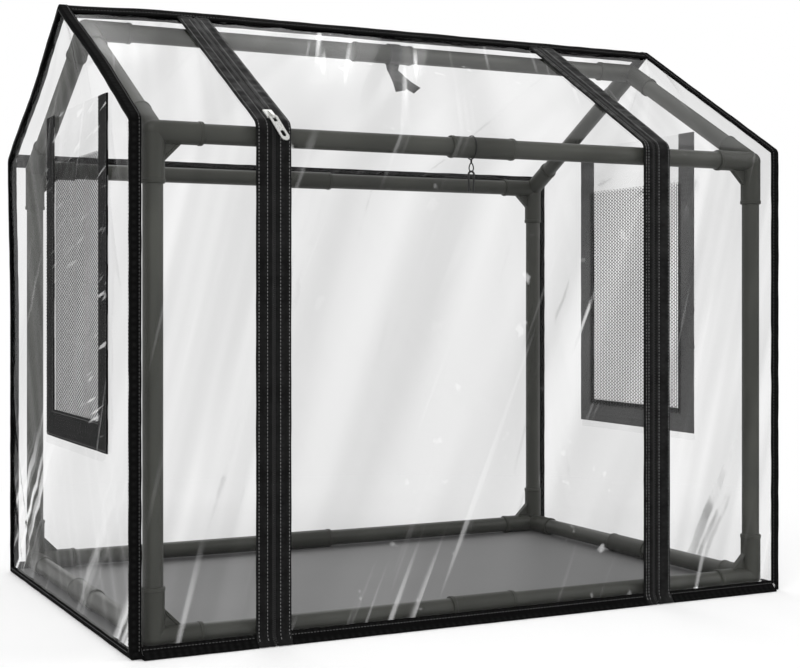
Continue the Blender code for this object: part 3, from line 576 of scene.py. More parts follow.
@dataclass(frozen=True)
class ClearVinyl(Finish):
    """Plasticised PVC film, calendered and folded for packing: glassy, with painted glints along
    its creases.
    """

    turn: float  # angle of the folds on the panel's map
    seed: float
    dim: str  # the film's greyer bands
    crease_glint: float  # how bright the painted glints along the straight creases are
    glass: str = "#FBFBFB"
    bands_per_metre: float = 11.0
    haze: float = 0.0
    spot_glint: float = 0.0  # brightness of painted glints in small spots
    crumple_glint: float = 0.0  # brightness of painted glints on short creases across the long ones
    glare_top: float = 0.0  # height up to which a fan of painted glare rises from the hem
    slant_shine: float = 0.42  # how much mirrors at the flattest angle

    def folds(self, tree: Tree, where: Node, scale: tuple[float, float, float]) -> Node:
        """Draw noise out along the folds.

        Args:
            tree: where the nodes go.
            where: the panel's map, turned to the folds.
            scale: how many folds to a metre, along, across and up.

        Returns:
            The noise.
        """
        drawn = add_node(tree, "Mapping", {"Vector": where, "Scale": scale})
        return add_node(tree, "TexNoise", {"Vector": drawn, "Scale": 1.0, "Detail": 1.0})

    def glint(self, tree: Tree, *steps: tuple[Node | Socket, float, float, float]) -> Node:
        """Make a glint where several patterns are all high.

        Args:
            tree: where the nodes go.
            steps: for each pattern its value, where its soft step starts and ends, and
                what the step rises to.

        Returns:
            The glint's brightness.
        """
        whole = None
        for value, low, high, top in steps:
            soft = {"Value": value, "From Min": low, "From Max": high, "To Max": top}
            soft = add_node(tree, "MapRange", soft, interpolation_type="SMOOTHSTEP")
            if whole:
                soft = add_node(tree, "Math", {0: whole, 1: soft}, operation="MULTIPLY")
            whole = soft
        return whole

    def glints(self, tree: Tree, flat: Node, lines: Node, bands: Node, patches: Node) -> list[Node]:
        """Make all the glints of this panel.

        Args:
            tree: where the nodes go.
            flat: the panel's map.
            lines: the pattern of fine straight creases.
            bands: the pattern of broad folds.
            patches: where creases lie close together.

        Returns:
            The brightness of each kind of glint.
        """
        made = [self.glint(tree, (lines, 0.60, 0.72, 1.0), (patches, 0.48, 0.66, self.crease_glint))]
        if self.spot_glint:
            spots = add_node(tree, "TexNoise", {"Vector": flat, "Scale": 42.0, "Detail": 2.0})
            spots = (spots, 0.66, 0.74, self.spot_glint)
            made.append(self.glint(tree, spots, (patches, 0.46, 0.60, 1.0)))
        if self.glare_top:
            where = add_node(tree, "TexCoord").outputs["Object"]
            height = add_node(tree, "SeparateXYZ", {0: where}).outputs["Z"]
            low = (height, self.glare_top, self.glare_top * 0.4, 1.0)
            made.append(
                self.glint(tree, (bands, 0.46, 0.60, 1.0), low, (lines, 0.44, 0.62, 0.7))
            )
        if self.crumple_glint:
            over = {"Vector": flat, "Rotation": (0, 0, -self.turn - 0.9)}
            short = self.folds(tree, add_node(tree, "Mapping", over), (16.0, 130.0, 1.0))
            spread = (patches, 0.44, 0.60, self.crumple_glint)
            made.append(self.glint(tree, (short, 0.62, 0.72, 1.0), spread))
        return made

    def surface(self, tree: Tree) -> Node:
        """Give the film soft bands, painted glints along straight creases in patches, and a mirror
        at a slant.

        Args:
            tree: where the nodes go.

        Returns:
            The shader.
        """
        flat = add_node(tree, "UVMap", uv_map=WEAVE)
        turned = {"Rotation": (0, 0, -self.turn), "Location": (self.seed, self.seed, 0)}
        along = add_node(tree, "Mapping", {"Vector": flat, **turned})
        lines = self.folds(tree, along, (2.0, 75.0, 1.0))
        bands = self.folds(tree, along, (0.9, self.bands_per_metre, 1.0))
        patches = self.folds(tree, along, (4.0, 7.0, 1.0))
        clearer = self.glint(tree, (bands, 0.38, 0.66, 1.0))
        tint = {0: clearer, 6: linear(self.dim), 7: linear(self.glass)}
        tint = add_node(tree, "Mix", tint, data_type="RGBA").outputs[2]
        ripple = add_node(tree, "Bump", {"Height": lines, "Strength": 0.3, "Distance": 0.0005})
        slant = add_node(tree, "LayerWeight", {"Blend": 0.5, "Normal": ripple})
        slant = add_node(tree, "Math", {0: slant.outputs["Facing"], 1: 5.0}, operation="POWER")
        shine = {"Value": slant, "To Min": 0.012, "To Max": self.slant_shine}
        bright = add_node(tree, "MapRange", shine)
        # The glints are painted highlights: each raises the mirror's share in a pattern of creases,
        # spots or a fan over the hem.
        for glint in self.glints(tree, flat, lines, bands, patches):
            bright = add_node(tree, "Math", {0: bright, 1: glint}, operation="ADD")
        bright = add_node(tree, "Math", {0: bright, 1: 0.92}, operation="MINIMUM")
        clear = add_node(tree, "BsdfTransparent", {"Color": tint})
        mirror = {"Color": linear("#FFFFFF"), "Roughness": 0.12, "Normal": ripple}
        mirror = add_node(tree, "BsdfGlossy", mirror)
        glassy = add_node(tree, "MixShader", {0: bright, 1: clear, 2: mirror})
        milky = {"Base Color": linear("#F5F5F5"), "Roughness": 0.3, "Normal": ripple}
        milky = add_node(tree, "BsdfPrincipled", milky)
        return add_node(tree, "MixShader", {0: self.haze, 1: glassy, 2: milky})


@dataclass(frozen=True)
class WovenTape(Finish):
    """Polyester tape from a needle loom: matt, with a rib across and fuzz on its edges."""

    colour: str = "#0B0B0B"
    raised: str = "#1B1B1B"
    rib_mm: float = 6.9115  # from one rib to the next
    soft: float = 0.05  # how much the fuzz shows
    gleam: float = 0.16
    smoothest: float = 0.48  # roughness where it is most rubbed
    inner_painted_light: str = ""  # painted light: a paler colour for the side that looks into the greenhouse

    def inner_side(self, tree: Tree) -> Node:
        """Find the faces that look towards the middle of the greenhouse.

        Args:
            tree: where the nodes go.

        Returns:
            1 on those faces and 0 on the others.
        """
        where = add_node(tree, "TexCoord").outputs["Object"]
        looks = add_node(tree, "NewGeometry").outputs["Normal"]
        where_x, looks_x = (add_node(tree, "SeparateXYZ", {0: way}) for way in (where, looks))
        away = add_node(tree, "Math", {0: where_x, 1: looks_x}, operation="MULTIPLY")
        return add_node(tree, "Math", {0: away, 1: 0.0}, operation="LESS_THAN")

    def surface(self, tree: Tree) -> Node:
        """Give the tape a plain weave, with ribs far wider than its threads so that they show.

        Args:
            tree: where the nodes go.

        Returns:
            The shader.
        """
        where = add_node(tree, "UVMap", uv_map=WEAVE)
        scale = WAVE_PERIOD * 1000 / self.rib_mm
        wave = {"Vector": where, "Scale": scale, "Distortion": 0.6, "Detail Scale": 3.0}
        wave["Detail"] = 1.0
        up, over = (
            add_node(tree, "TexWave", wave, bands_direction=way).outputs["Fac"] for way in "XY"
        )
        cloth = add_node(tree, "Math", {0: up, 1: over}, operation="MULTIPLY")
        fuzz = add_node(tree, "TexNoise", {"Vector": where, "Scale": 220.0, "Detail": 4.0})
        weave = add_node(tree, "Math", {0: cloth, 1: fuzz}, operation="MULTIPLY")
        tint = {0: weave, 6: linear(self.colour), 7: linear(self.raised)}
        tint = add_node(tree, "Mix", tint, data_type="RGBA").outputs[2]
        # Painted light: the faces that look into the greenhouse are given a paler colour.
        if self.inner_painted_light:
            tint = {0: self.inner_side(tree), 6: tint, 7: linear(self.inner_painted_light)}
            tint = add_node(tree, "Mix", tint, data_type="RGBA").outputs[2]
        rubbed = add_node(tree, "TexNoise", {"Vector": where, "Scale": 55.0, "Detail": 2.0})
        worn = {"Value": rubbed, "From Min": 0.35, "From Max": 0.65}
        worn |= {"To Min": self.smoothest, "To Max": 0.92}
        look = {
            "Base Color": tint,
            "Roughness": add_node(tree, "MapRange", worn),
            "Normal": add_node(
                tree, "Bump", {"Height": weave, "Strength": 0.8, "Distance": 0.0003}
            ),
            "Sheen Weight": self.soft,
            "Sheen Roughness": 0.5,
            "Specular IOR Level": self.gleam,
        }
        return add_node(tree, "BsdfPrincipled", look)


@dataclass(frozen=True)
class SpunThread(Finish):
    """Bonded polyester sewing thread: a shade lighter than the tape, with a dry gleam."""

    colour: str = "#4C4C4C"
    dark: str = "#2A2A2A"

    def surface(self, tree: Tree) -> Node:
        """Give the thread an uneven grey, because each stitch takes the light in its own way.

        Args:
            tree: where the nodes go.

        Returns:
            The shader.
        """
        where = add_node(tree, "TexCoord").outputs["Object"]
        uneven = add_node(tree, "TexNoise", {"Vector": where, "Scale": 300.0, "Detail": 1.0})
        tint = {0: uneven, 6: linear(self.dark), 7: linear(self.colour)}
        tint = add_node(tree, "Mix", tint, data_type="RGBA").outputs[2]
        return add_node(tree, "BsdfPrincipled", {"Base Color": tint, "Roughness": 0.55})


@dataclass(frozen=True)
class CoatedCloth(Finish):
    """Polyester cloth with a PVC coat, as the floor: dull grey, with the cloth showing through."""

    colour: str = "#727272"
    dark: str = "#666666"

    def surface(self, tree: Tree) -> Node:
        """Give the floor soft clouds, a faint cloth grid and a low even sheen.

        Args:
            tree: where the nodes go.

        Returns:
            The shader.
        """
        where = add_node(tree, "TexCoord").outputs["Object"]
        cloud = add_node(tree, "TexNoise", {"Vector": where, "Scale": 7.0, "Detail": 5.0})
        grid = add_node(tree, "TexNoise", {"Vector": where, "Scale": 700.0, "Detail": 2.0})
        tint = {0: cloud, 6: linear(self.dark), 7: linear(self.colour)}
        look = {
            "Base Color": add_node(tree, "Mix", tint, data_type="RGBA").outputs[2],
            "Roughness": add_node(
                tree, "MapRange", {"Value": cloud, "To Min": 0.5, "To Max": 0.65}
            ),
            "Normal": add_node(
                tree, "Bump", {"Height": grid, "Strength": 0.4, "Distance": 0.0002}
            ),
        }
        return add_node(tree, "BsdfPrincipled", look)


@dataclass(frozen=True)
class PlatedZinc(Finish):
    """Die-cast zinc with nickel plate, tumbled: bright, with soft brushing."""

    colour: str = "#C9C9C6"

    def surface(self, tree: Tree) -> Node:
        """Give the metal small scuffs in its shine.

        Args:
            tree: where the nodes go.

        Returns:
            The shader.
        """
        where = add_node(tree, "TexCoord").outputs["Object"]
        scuff = add_node(tree, "TexNoise", {"Vector": where, "Scale": 900.0, "Detail": 3.0})
        matt = add_node(tree, "MapRange", {"Value": scuff, "To Min": 0.16, "To Max": 0.4})
        look = {"Base Color": linear(self.colour), "Metallic": 1.0, "Roughness": matt}
        return add_node(tree, "BsdfPrincipled", look)


PIPE = PowderCoatedSteel("powder_coated_steel")
FITTING = MouldedPolypropylene("moulded_polypropylene")
BINDING = WovenTape(
    "woven_polyester_binding", "#0C0C0C", "#1E1E1E", soft=0.0, gleam=0.02, smoothest=0.8
)
ZIP_TAPE = WovenTape("woven_zip_tape", "#080808", "#1A1A1A", gleam=0.1)
PILE = WovenTape(
    "hook_and_loop_pile",
    "#0C0C0C",
    "#1A1A1A",
    rib_mm=5.6549,
    soft=0.02,
    gleam=0.02,
    smoothest=0.8,
    # painted light: the strips' faces that look into the greenhouse are painted paler
    inner_painted_light="#646464",
)
NET = WovenTape("knitted_polyester_net", "#0C0C0C", "#1E1E1E", rib_mm=5.0265)
WEBBING = WovenTape("woven_webbing", "#2A2A2A", "#6C6C6C", rib_mm=8.7965)
COIL = MouldedPolypropylene("nylon_coil", "#2A2A2A", "#151515", grain_mm=1.2)
CORD = MouldedPolypropylene("coated_wire", "#1A1A1A", "#101010")
THREAD = SpunThread("bonded_polyester_thread")
ZIP_THREAD = SpunThread("bonded_zip_thread", "#8C8C8C")
FLOOR_CLOTH = CoatedCloth("coated_floor_cloth")
ZINC = PlatedZinc("nickel_plated_zinc")
FRONT_FILM = ClearVinyl(
    "clear_vinyl_front", 0.24, 0.3, "#EFEFEF", 0.35, glass="#FFFFFF", bands_per_metre=34.0
)
ROOF_FILM = ClearVinyl("clear_vinyl_door", 0.4, 1.7, "#ECECEC", 0.35, spot_glint=0.4)
BACK_FILM = ClearVinyl("clear_vinyl_back", 0.3, 2.9, "#EDEDED", 0.2, glass="#F6F6F6")
LEFT_FILM = ClearVinyl(
    "clear_vinyl_left_gable", 2.24, 4.1, "#F2F2F2", 0.4, glare_top=0.19, slant_shine=0.28
)
RIGHT_FILM = ClearVinyl("clear_vinyl_right_gable", 2.07, 5.3, "#EEEEEE", 0.85, haze=0.04)
FLAP_FILM = ClearVinyl(
    "clear_vinyl_flap", 2.0, 6.6, "#F4F4F4", 0.2, crumple_glint=0.45, slant_shine=0.03
)


# Cross-section of the cover


@dataclass(frozen=True)
class Cover:
    """Sizes of the sewn cover, and the lines that its pieces follow."""

    middle: float
    half_length: float = 0.3495
    half_depth: float = 0.2335
    foot: float = 0.0018
    eave: float = 0.4615
    ridge: float = 0.5987
    leg: float = 0.008  # width of a binding's leg
    gable_leg: float = 0.005
    ridge_leg: float = 0.017
    seam: float = 0.0018  # height of a binding over the film
    fit: float = 0.0003  # gap between sewn layers
    eave_bend: float = 0.010
    gable_bend: float = 0.005
    ridge_bend: float = 0.003
    bend_steps: int = 6
    # Where the left end is drawn back: the middle, the pull and the reach of each.
    pulls: tuple = (
        ((-0.35, 0.235, 0.463), (0.0, 0.012, 0.002), (0.28, 0.16, 0.18)),
        ((-0.35, 0.0, 0.6), (0.0, 0.013, -0.001), (0.11, 0.30, 0.10)),
    )
    # How far the front foot stands out at each height.
    flare: tuple = (
        (0.0, 0.0078), (0.0010, 0.0080), (0.0042, 0.0032), (0.0075, 0.0009), (0.0105, 0.0)
    )

    @property
    def slope(self) -> float:
        """Rise of the roof for each metre of run."""
        return (self.ridge - self.eave) / self.half_depth

    @property
    def secant(self) -> float:
        """Length along the roof for each metre of run."""
        return math.hypot(1, self.slope)

    @property
    def edge_run(self) -> float:
        """Level distance from the ridge to where its binding ends."""
        return self.ridge_leg / self.secant

    @property
    def flange(self) -> float:
        """X at which the leg of a gable binding ends on the roof and the walls."""
        return self.half_length - self.leg

    def roof_point(self, run: float, height: float) -> Pair:
        """A point of the front roof, at a level distance from the ridge and a height."""
        return (-run, self.ridge - self.slope * run + self.secant * height)

    def wall_point(self, z: float, height: float) -> Pair:
        """A point of the front wall."""
        return (-(self.half_depth + height), z)

    def eave_corner(self, height: float) -> Pair:
        """Where the front wall and roof would meet if the bend were sharp."""
        return self.wall_point(self.eave - self.slope * height + self.secant * height, height)

    def half_width(self, z: float) -> float:
        """Half of the gable's width at a height."""
        return min(self.half_depth, max(0.0, (self.ridge - z) / self.slope))

    def fillet(self, before: Pair, corner: Pair, after: Pair, radius: float) -> list[Pair]:
        """Points of the arc that rounds off a corner.

        Args:
            before: a point on the way to the corner.
            corner: the corner.
            after: a point on the way from it.
            radius: the arc's.

        Returns:
            The arc's points, bend_steps + 1 of them.
        """
        corner_at = Vector(corner)
        back = (Vector(before) - corner_at).normalized()
        ahead = (Vector(after) - corner_at).normalized()
        half = back.angle(ahead) / 2
        centre = corner_at + (back + ahead).normalized() * (radius / math.sin(half))
        first = corner_at + back * (radius / math.tan(half)) - centre
        last = corner_at + ahead * (radius / math.tan(half)) - centre
        total = first.angle_signed(last)
        arc = []
        for step in range(self.bend_steps + 1):
            arm = first.copy()
            arm.rotate(Matrix.Rotation(-total * step / self.bend_steps, 2))
            arc.append(tuple(centre + arm))
        return arc

    def front(self, bottom: float, top_run: float) -> Outline:
        """The line up the front wall and roof.

        Args:
            bottom: Z of its lower end.
            top_run: level distance from the ridge to its upper end.

        Returns:
            The line, as a function of the height above the film.
        """

        def line(height: float) -> list[Pair]:
            """The line at one height.

            Args:
                height: how far outside the film.

            Returns:
                Its points, from the foot up.
            """
            start, peak = self.wall_point(bottom, height), self.roof_point(0, height)
            bend = self.fillet(start, self.eave_corner(height), peak, self.eave_bend + height)
            return [start, *bend, self.roof_point(top_run, height)]

        return line

    def gable(self, height: float) -> list[Pair]:
        """The whole cross-section, rounded at the eaves and the ridge.

        Args:
            height: how far outside the film.

        Returns:
            Its points, from the front foot to the back foot.
        """
        foot = self.wall_point(self.foot - height, height)
        peak, eave = self.roof_point(0, height), self.eave_corner(height)
        other = (-eave[0], eave[1])
        bend = self.fillet(foot, eave, peak, max(self.gable_bend + height, self.fit))
        crown = self.fillet(eave, peak, other, max(self.ridge_bend + height, self.fit))
        back = [(-y, z) for y, z in [foot, *bend]]
        return [foot, *bend, *crown, *back[::-1]]

    def settled(self, points: np.ndarray) -> np.ndarray:
        """Where points of the cover come to lie: its left end drawn back, its front foot flared.

        Args:
            points: X, Y and Z of each.

        Returns:
            The moved points, none of them under the ground.
        """
        for centre, pull, reach in self.pulls:
            near = np.linalg.norm((points - np.array(centre)) / np.array(reach), axis=1)
            share = np.clip(1 - near, 0, 1)
            points = points + (share * share * (3 - 2 * share))[:, None] * np.array(pull)
        heights, runs = zip(*self.flare)
        on_front = points[:, 1] < -(self.half_depth - 0.0015)
        on_front &= np.abs(points[:, 0]) < self.flange
        points[:, 1] -= on_front * np.interp(points[:, 2], heights, runs)
        points[:, 2] = np.maximum(points[:, 2], 0)
        return points


COVER = Cover(middle=sum(corner.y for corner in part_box("floor_sheet")) / 2)


@dataclass(frozen=True)
class Slack:
    """How a stretched panel stands off its line, by creases that die out at its seams."""

    height: float
    seed: float
    along: Pair  # how far a metre up and a metre of X take one along the creases
    across: float  # how far a metre up takes one across them
    margin: float = 0.02
    foot: float = 0.02

    def over(self, span: Pair) -> Lift:
        """The panel's height between two edges.

        Args:
            span: X of both edges.

        Returns:
            The height, as a function of X and the distance up from the hem.
        """

        def lift(x: float, s: float) -> float:
            """The height at one point.

            Args:
                x: its X.
                s: its distance up from the hem.

            Returns:
                The height, which is 0 at the seams.
            """
            edges = ((x - span[0]) / self.margin, (span[1] - x) / self.margin)
            hold = max(0.0, min(1.0, *edges, s / self.foot))
            u = s * self.along[0] + x * self.along[1]
            return hold * self.height * crease(u, x + s * self.across, self.seed)

        return lift

    def film(self, name: str, xs: np.ndarray, top_run: float, step: float) -> Piece:
        """Make a panel up the front wall and over the front roof.

        Args:
            name: the panel's name.
            xs: the places of its points along X.
            top_run: level distance from the ridge to its top edge.
            step: as for swept.

        Returns:
            The panel.
        """
        section = [(x, -COVER.fit) for x in xs]
        lift = self.over((xs[0], xs[-1]))
        line = COVER.front(COVER.foot, top_run)
        return swept(name, line, section, step, lift=lift, ring=False, smooth=SHEET_SMOOTH)


# The frame


@dataclass
class PipeFrame:
    """Posts, rails and rafters, the fittings they plug into and the couplers at mid-rail."""

    width: float = 0.6532
    depth: float = 0.4378
    base: float = 0.0130
    eave: float = 0.4512
    ridge: float = 0.5735
    pipe: float = 0.009
    wall: float = 0.001
    sleeve: float = 0.0103
    arm: float = 0.045
    core: float = 0.0133
    coupler: float = 0.070
    web: float = 0.035
    web_thick: float = 0.006
    sides: int = 40
    # A sleeve's rolled lip: way back from its end, and rise over its radius.
    lip: tuple = (
        (0.0042, 0.0), (0.0036, 0.0005), (0.0010, 0.0005), (0.0003, 0.0002), (0.0, -0.0004)
    )
    # A web's raised rim: way in from its free edge, and share of its thickness.
    rim: tuple = ((0.0, 1.0), (0.0022, 1.0), (0.0030, 0.62))

    def turned(self, name: str, profile: Sequence[Pair], start: Vector, ahead: Vector) -> Piece:
        """Turn a profile about a line.

        Args:
            name: the piece's name.
            profile: distance along the line and radius of each of its corners.
            start: where the line starts.
            ahead: its direction.

        Returns:
            The piece.
        """
        ahead = ahead.normalized()
        side = ahead.orthogonal().normalized()
        other = ahead.cross(side)
        rows = []
        for number in range(self.sides):
            turn = 2 * math.pi * number / self.sides
            out = side * math.cos(turn) + other * math.sin(turn)
            rows.append([tuple(start + ahead * d + out * r) for d, r in profile])
        return woven(name, np.array(rows), ring=True, smooth=35)

    def lipped(self, end: float) -> list[Pair]:
        """Profile of a moulded sleeve whose open end has a small rolled lip."""
        lip = [(end - back, self.sleeve + rise) for back, rise in self.lip]
        return [(0.0, self.sleeve), *lip, (end, self.pipe - 0.0001)]

    def tube(self, node: str, start: Vector, end: Vector) -> None:
        """Make one pipe.

        Args:
            node: the frame's node that it stands for.
            start: the middle of one end.
            end: the middle of the other.
        """
        run = end - start
        inner = self.pipe - self.wall
        profile = [(0.0, inner), (0.0, self.pipe), (run.length, self.pipe), (run.length, inner)]
        made = self.turned(f"{node}_tube", profile, start, run)
        place(made, PIPE, "coated_pipe", stands_for=[node])

    def rail(self, name: str, ends: tuple[str, str], start: Vector, end: Vector) -> None:
        """Make two pipes that meet in a coupler, which has a rolled lip at either end.

        Args:
            name: the rail's name.
            ends: the words that name its halves in the frame.
            start: the middle of the fitting at one end.
            end: the middle of the fitting at the other.
        """
        ahead = (end - start).normalized()
        middle = (start + end) / 2
        self.tube(f"{name}_{ends[0]}", start + ahead * self.core, middle)
        self.tube(f"{name}_{ends[1]}", end - ahead * self.core, middle)
        profile = self.lipped(self.coupler / 2)
        whole = [(-d, r) for d, r in profile[:0:-1]] + profile[1:]
        made = self.turned(f"{name}_coupler", whole, middle, ahead)
        place(made, FITTING, "fitting_plastic")

    def plate(self, name: str, first: Vector, second: Vector) -> Piece:
        """Make the web between two arms, with a raised rim along its free edge.

        Args:
            name: the web's name.
            first: the way that one arm points.
            second: the way that the other points.

        Returns:
            The web, with the arms' meeting point at the origin.
        """
        across = first.cross(second).normalized()
        points, faces = [], []
        for inset, share in self.rim:
            reach, thick = self.web - inset * math.sqrt(2), self.web_thick * share
            for sign in (-1, 1):
                off = across * sign * thick / 2
                points += [off, first * reach + off, second * reach + off]
        faces.append((1, 2, 5, 4))
        for start, flip in ((0, 1), (3, -1)):
            for low, high in ((start, start + 6), (start + 6, start + 12)):
                faces.append((low + 1, low + 2, high + 2, high + 1)[::flip])
            faces.append((start + 12, start + 13, start + 14)[::flip])
        return mesh_piece(name, points, faces, 30)

    def corner(self, node: str, at: Vector, arms: Sequence[Vector], webbed: int = 0) -> None:
        """Make a moulded fitting.

        Args:
            node: the frame's node that it stands for.
            at: where its arms meet.
            arms: the ways that they point.
            webbed: the number of the arm that a web joins to the first, or 0 for no web.
        """
        profile = [(0.0, 0.0002), *self.lipped(self.arm)]
        origin = Vector((0, 0, 0))
        parts = [
            self.turned(f"{node}_arm_{number}", profile, origin, arm)
            for number, arm in enumerate(arms)
        ]
        ball = bmesh.new()
        bmesh.ops.create_uvsphere(ball, u_segments=32, v_segments=20, radius=self.sleeve + 0.0002)
        mesh = bpy.data.meshes.new(f"{node}_ball")
        ball.to_mesh(mesh)
        ball.free()
        mesh.shade_smooth()
        parts.append(linked(f"{node}_ball", mesh))
        if webbed:
            parts.append(self.plate(f"{node}_web", arms[0], arms[webbed]))
        made = joined(f"{node}_moulding", parts)
        made.data.transform(Matrix.Translation(at))
        place(made, FITTING, "fitting_plastic", stands_for=[node])

    def build(self) -> None:
        """Make all the pipes, fittings and couplers."""
        x_half, y_half = self.width / 2, self.depth / 2
        for side in Side:
            x = side.value * x_half
            inward = Vector((-side.value, 0, 0))
            peak = Vector((x, 0, self.ridge))
            down = Vector((0, y_half, self.eave - self.ridge)).normalized()
            front_down = Vector((0, -down.y, down.z))
            self.corner(f"ridge_fitting_{side.word}", peak, [inward, down, front_down])
            for end, sign in (("front", -1), ("back", 1)):
                name = f"{end}_{side.word}"
                foot, eave = (Vector((x, sign * y_half, z)) for z in (self.base, self.eave))
                rise = (peak - eave).normalized()
                inwards = [inward, Vector((0, -sign, 0)), UP]
                self.corner(f"bottom_fitting_{name}", foot, inwards, 2)
                self.corner(f"eave_fitting_{name}", eave, [inward, -UP, rise], 1)
                self.tube(f"post_{name}", foot + UP * self.core, eave - UP * self.core)
                self.tube(f"rafter_{name}", eave + rise * self.core, peak - rise * self.core)
            ends = (Vector((x, sign * y_half, self.base)) for sign in (-1, 1))
            self.rail(f"bottom_rail_{side.word}", ("front", "back"), *ends)
        for name, y, z in (
            ("bottom_rail_front", -y_half, self.base),
            ("bottom_rail_back", y_half, self.base),
            ("eave_rail_front", -y_half, self.eave),
            ("eave_rail_back", y_half, self.eave),
            ("ridge_rail", 0.0, self.ridge),
        ):
            self.rail(name, ("left", "right"), Vector((-x_half, y, z)), Vector((x_half, y, z)))


# The cover


@dataclass
class FilmCover:
    """The clear panels that don't move, and the grey floor."""

    step: float = 0.008
    panel_left: Pair = (-0.3486, -0.2312)
    panel_right: Pair = (0.2042, 0.3486)
    back: Pair = (-0.3486, 0.3486)
    back_points: int = 88
    ground_to_ridge: float = 0.722  # along the bend
    gable_flat: Pair = (0.467, 0.597)
    gable_area: float = 0.2467  # with the roof's corners cut off and the window still whole
    gable_points: int = 60
    straight_to: float = 0.455  # below it the gable's rows are evenly spaced

    def front_panel(self, side: Side) -> None:
        """Make the narrow panel between a zip and a gable, from the hem to the ridge.

        Args:
            side: the gable that it is next to.
        """
        span = self.panel_left if side is Side.LEFT else self.panel_right
        wide = span[1] - span[0]
        xs = np.linspace(*span, max(2, round(wide / self.step)))
        slack = Slack(0.0011, 3.1 + side.value, (0.8, 0.6), -0.35, 0.012, 0.012)
        made = slack.film(f"front_film_{side.word}", xs, COVER.fit, self.step)
        place(made, FRONT_FILM, "clear_film", stands_for=[f"front_panel_{side.word}"])

    def back_panel(self) -> None:
        """Make the back wall and roof, one sheet bent over the back eave."""
        xs = np.linspace(*self.back, self.back_points)
        slack = Slack(0.0016, 7.3, (0.75, -0.65), 0.8, foot=0.015)
        made = slack.film("back_film", xs, COVER.fit, self.step)
        made.data.transform(Matrix.Diagonal((1, -1, 1, 1)))
        made.data.flip_normals()
        place(made, BACK_FILM, "clear_film", stands_for=["back_panel"])

    def cut_out(self, piece: Piece, window: Box) -> None:
        """Cut a window's opening out of a gable.

        Args:
            piece: the gable's film.
            window: the opening.
        """
        cut = bmesh.new()
        cut.from_mesh(piece.data)
        for number, value in enumerate(window):
            normal = Vector((0, 1, 0) if number < 2 else (0, 0, 1))
            everything = cut.verts[:] + cut.edges[:] + cut.faces[:]
            bmesh.ops.bisect_plane(
                cut, geom=everything, plane_co=normal * value, plane_no=normal
            )
        gone = []
        for face in cut.faces:
            _, y, z = face.calc_center_median()
            if window[0] < y < window[1] and window[2] < z < window[3]:
                gone.append(face)
        bmesh.ops.delete(cut, geom=gone, context="FACES")
        cut.to_mesh(piece.data)
        cut.free()

    def gable(self, side: Side, window: Box) -> None:
        """Make one gable, with the opening for its window cut out.

        Args:
            side: which gable.
            window: the opening.
        """
        x = side.value * (COVER.half_length - COVER.fit)
        low = np.arange(COVER.foot, self.straight_to, self.step)
        high = np.linspace(self.straight_to, COVER.ridge - 0.003, 20)
        rows = []
        for z in [*low, *high]:
            half = COVER.half_width(z) - 0.0004
            row = []
            for y in np.linspace(-1, 1, self.gable_points) * half:
                inside = min(half - abs(y), z - COVER.foot, COVER.half_width(z - 0.01))
                near = max(window[0] - y, y - window[1], window[2] - z, z - window[3])
                hold = min(1.0, max(0.0, inside) / 0.025, max(0.0, near) / 0.02)
                height = 0.0026 * crease(z * 0.8 + y * 0.6, y - z * 0.5, 11.0 + side.value)
                row.append((x - side.value * hold * (0.001 - height), y, z))
            rows.append(row)
        made = woven(f"gable_film_{side.word}", np.array(rows), smooth=SHEET_SMOOTH)
        self.cut_out(made, window)
        film = LEFT_FILM if side is Side.LEFT else RIGHT_FILM
        place(made, film, "clear_film", stands_for=[f"gable_panel_{side.word}"])

    def floor(self) -> None:
        """Make the grey floor, which lies nearly flat under the bottom rails."""
        half, deep = COVER.half_length - 0.0009, COVER.half_depth - 0.0009
        rows = []
        for y in np.linspace(-deep, deep, 46):
            row = []
            for x in np.linspace(-half, half, 66):
                edges = ((half - abs(x) - 0.035) / 0.05, (deep - abs(y) - 0.03) / 0.05)
                swell = max(0.0, min(1.0, *edges)) * 0.0011
                swell *= 0.5 + crease(x, y, 21.0, 0.15, 0.07)
                row.append((x, y, COVER.foot + 0.0004 + swell))
            rows.append(row)
        made = woven("floor_cloth", np.array(rows), smooth=SHEET_SMOOTH)
        place(made, FLOOR_CLOTH, "floor_film", stands_for=["floor_sheet"])

    def build(self, windows: dict[Side, Box]) -> None:
        """Make all the panels.

        Args:
            windows: the opening in each gable.
        """
        for side in Side:
            self.front_panel(side)
            self.gable(side, windows[side])
        self.back_panel()
        self.floor()


@dataclass(frozen=True)
class FrontHem:
    """Tape folded round the front foot of the cover, which flares out over the ground."""

    span: Pair
    slot: str = "binding_fabric"
    body: str = "greenhouse"
    thread: float = TAPE_THREAD
    wave: float = 0.018
    seed: float = 5.0
    row: float = 0.0078  # height of the stitches over the ground

    def sew(self, name: str, row_name: str, section: Sequence[Pair]) -> None:
        """Make the hem and its row of stitches.

        Args:
            name: the hem's name.
            row_name: the stitches' name.
            section: the hem's corners, as Y and Z.
        """
        made = pucker(along_x(name, section, self.span), 0.0003, self.wave, self.seed)
        place(made, BINDING, self.slot, self.body)
        face = -(COVER.half_depth + COVER.seam + 0.0001)
        line = level(np.array(self.span), face, self.row)
        row = stitches(row_name, line, (0.0, -1.0, 0.0), self.thread)
        place(row, THREAD, self.slot, self.body)


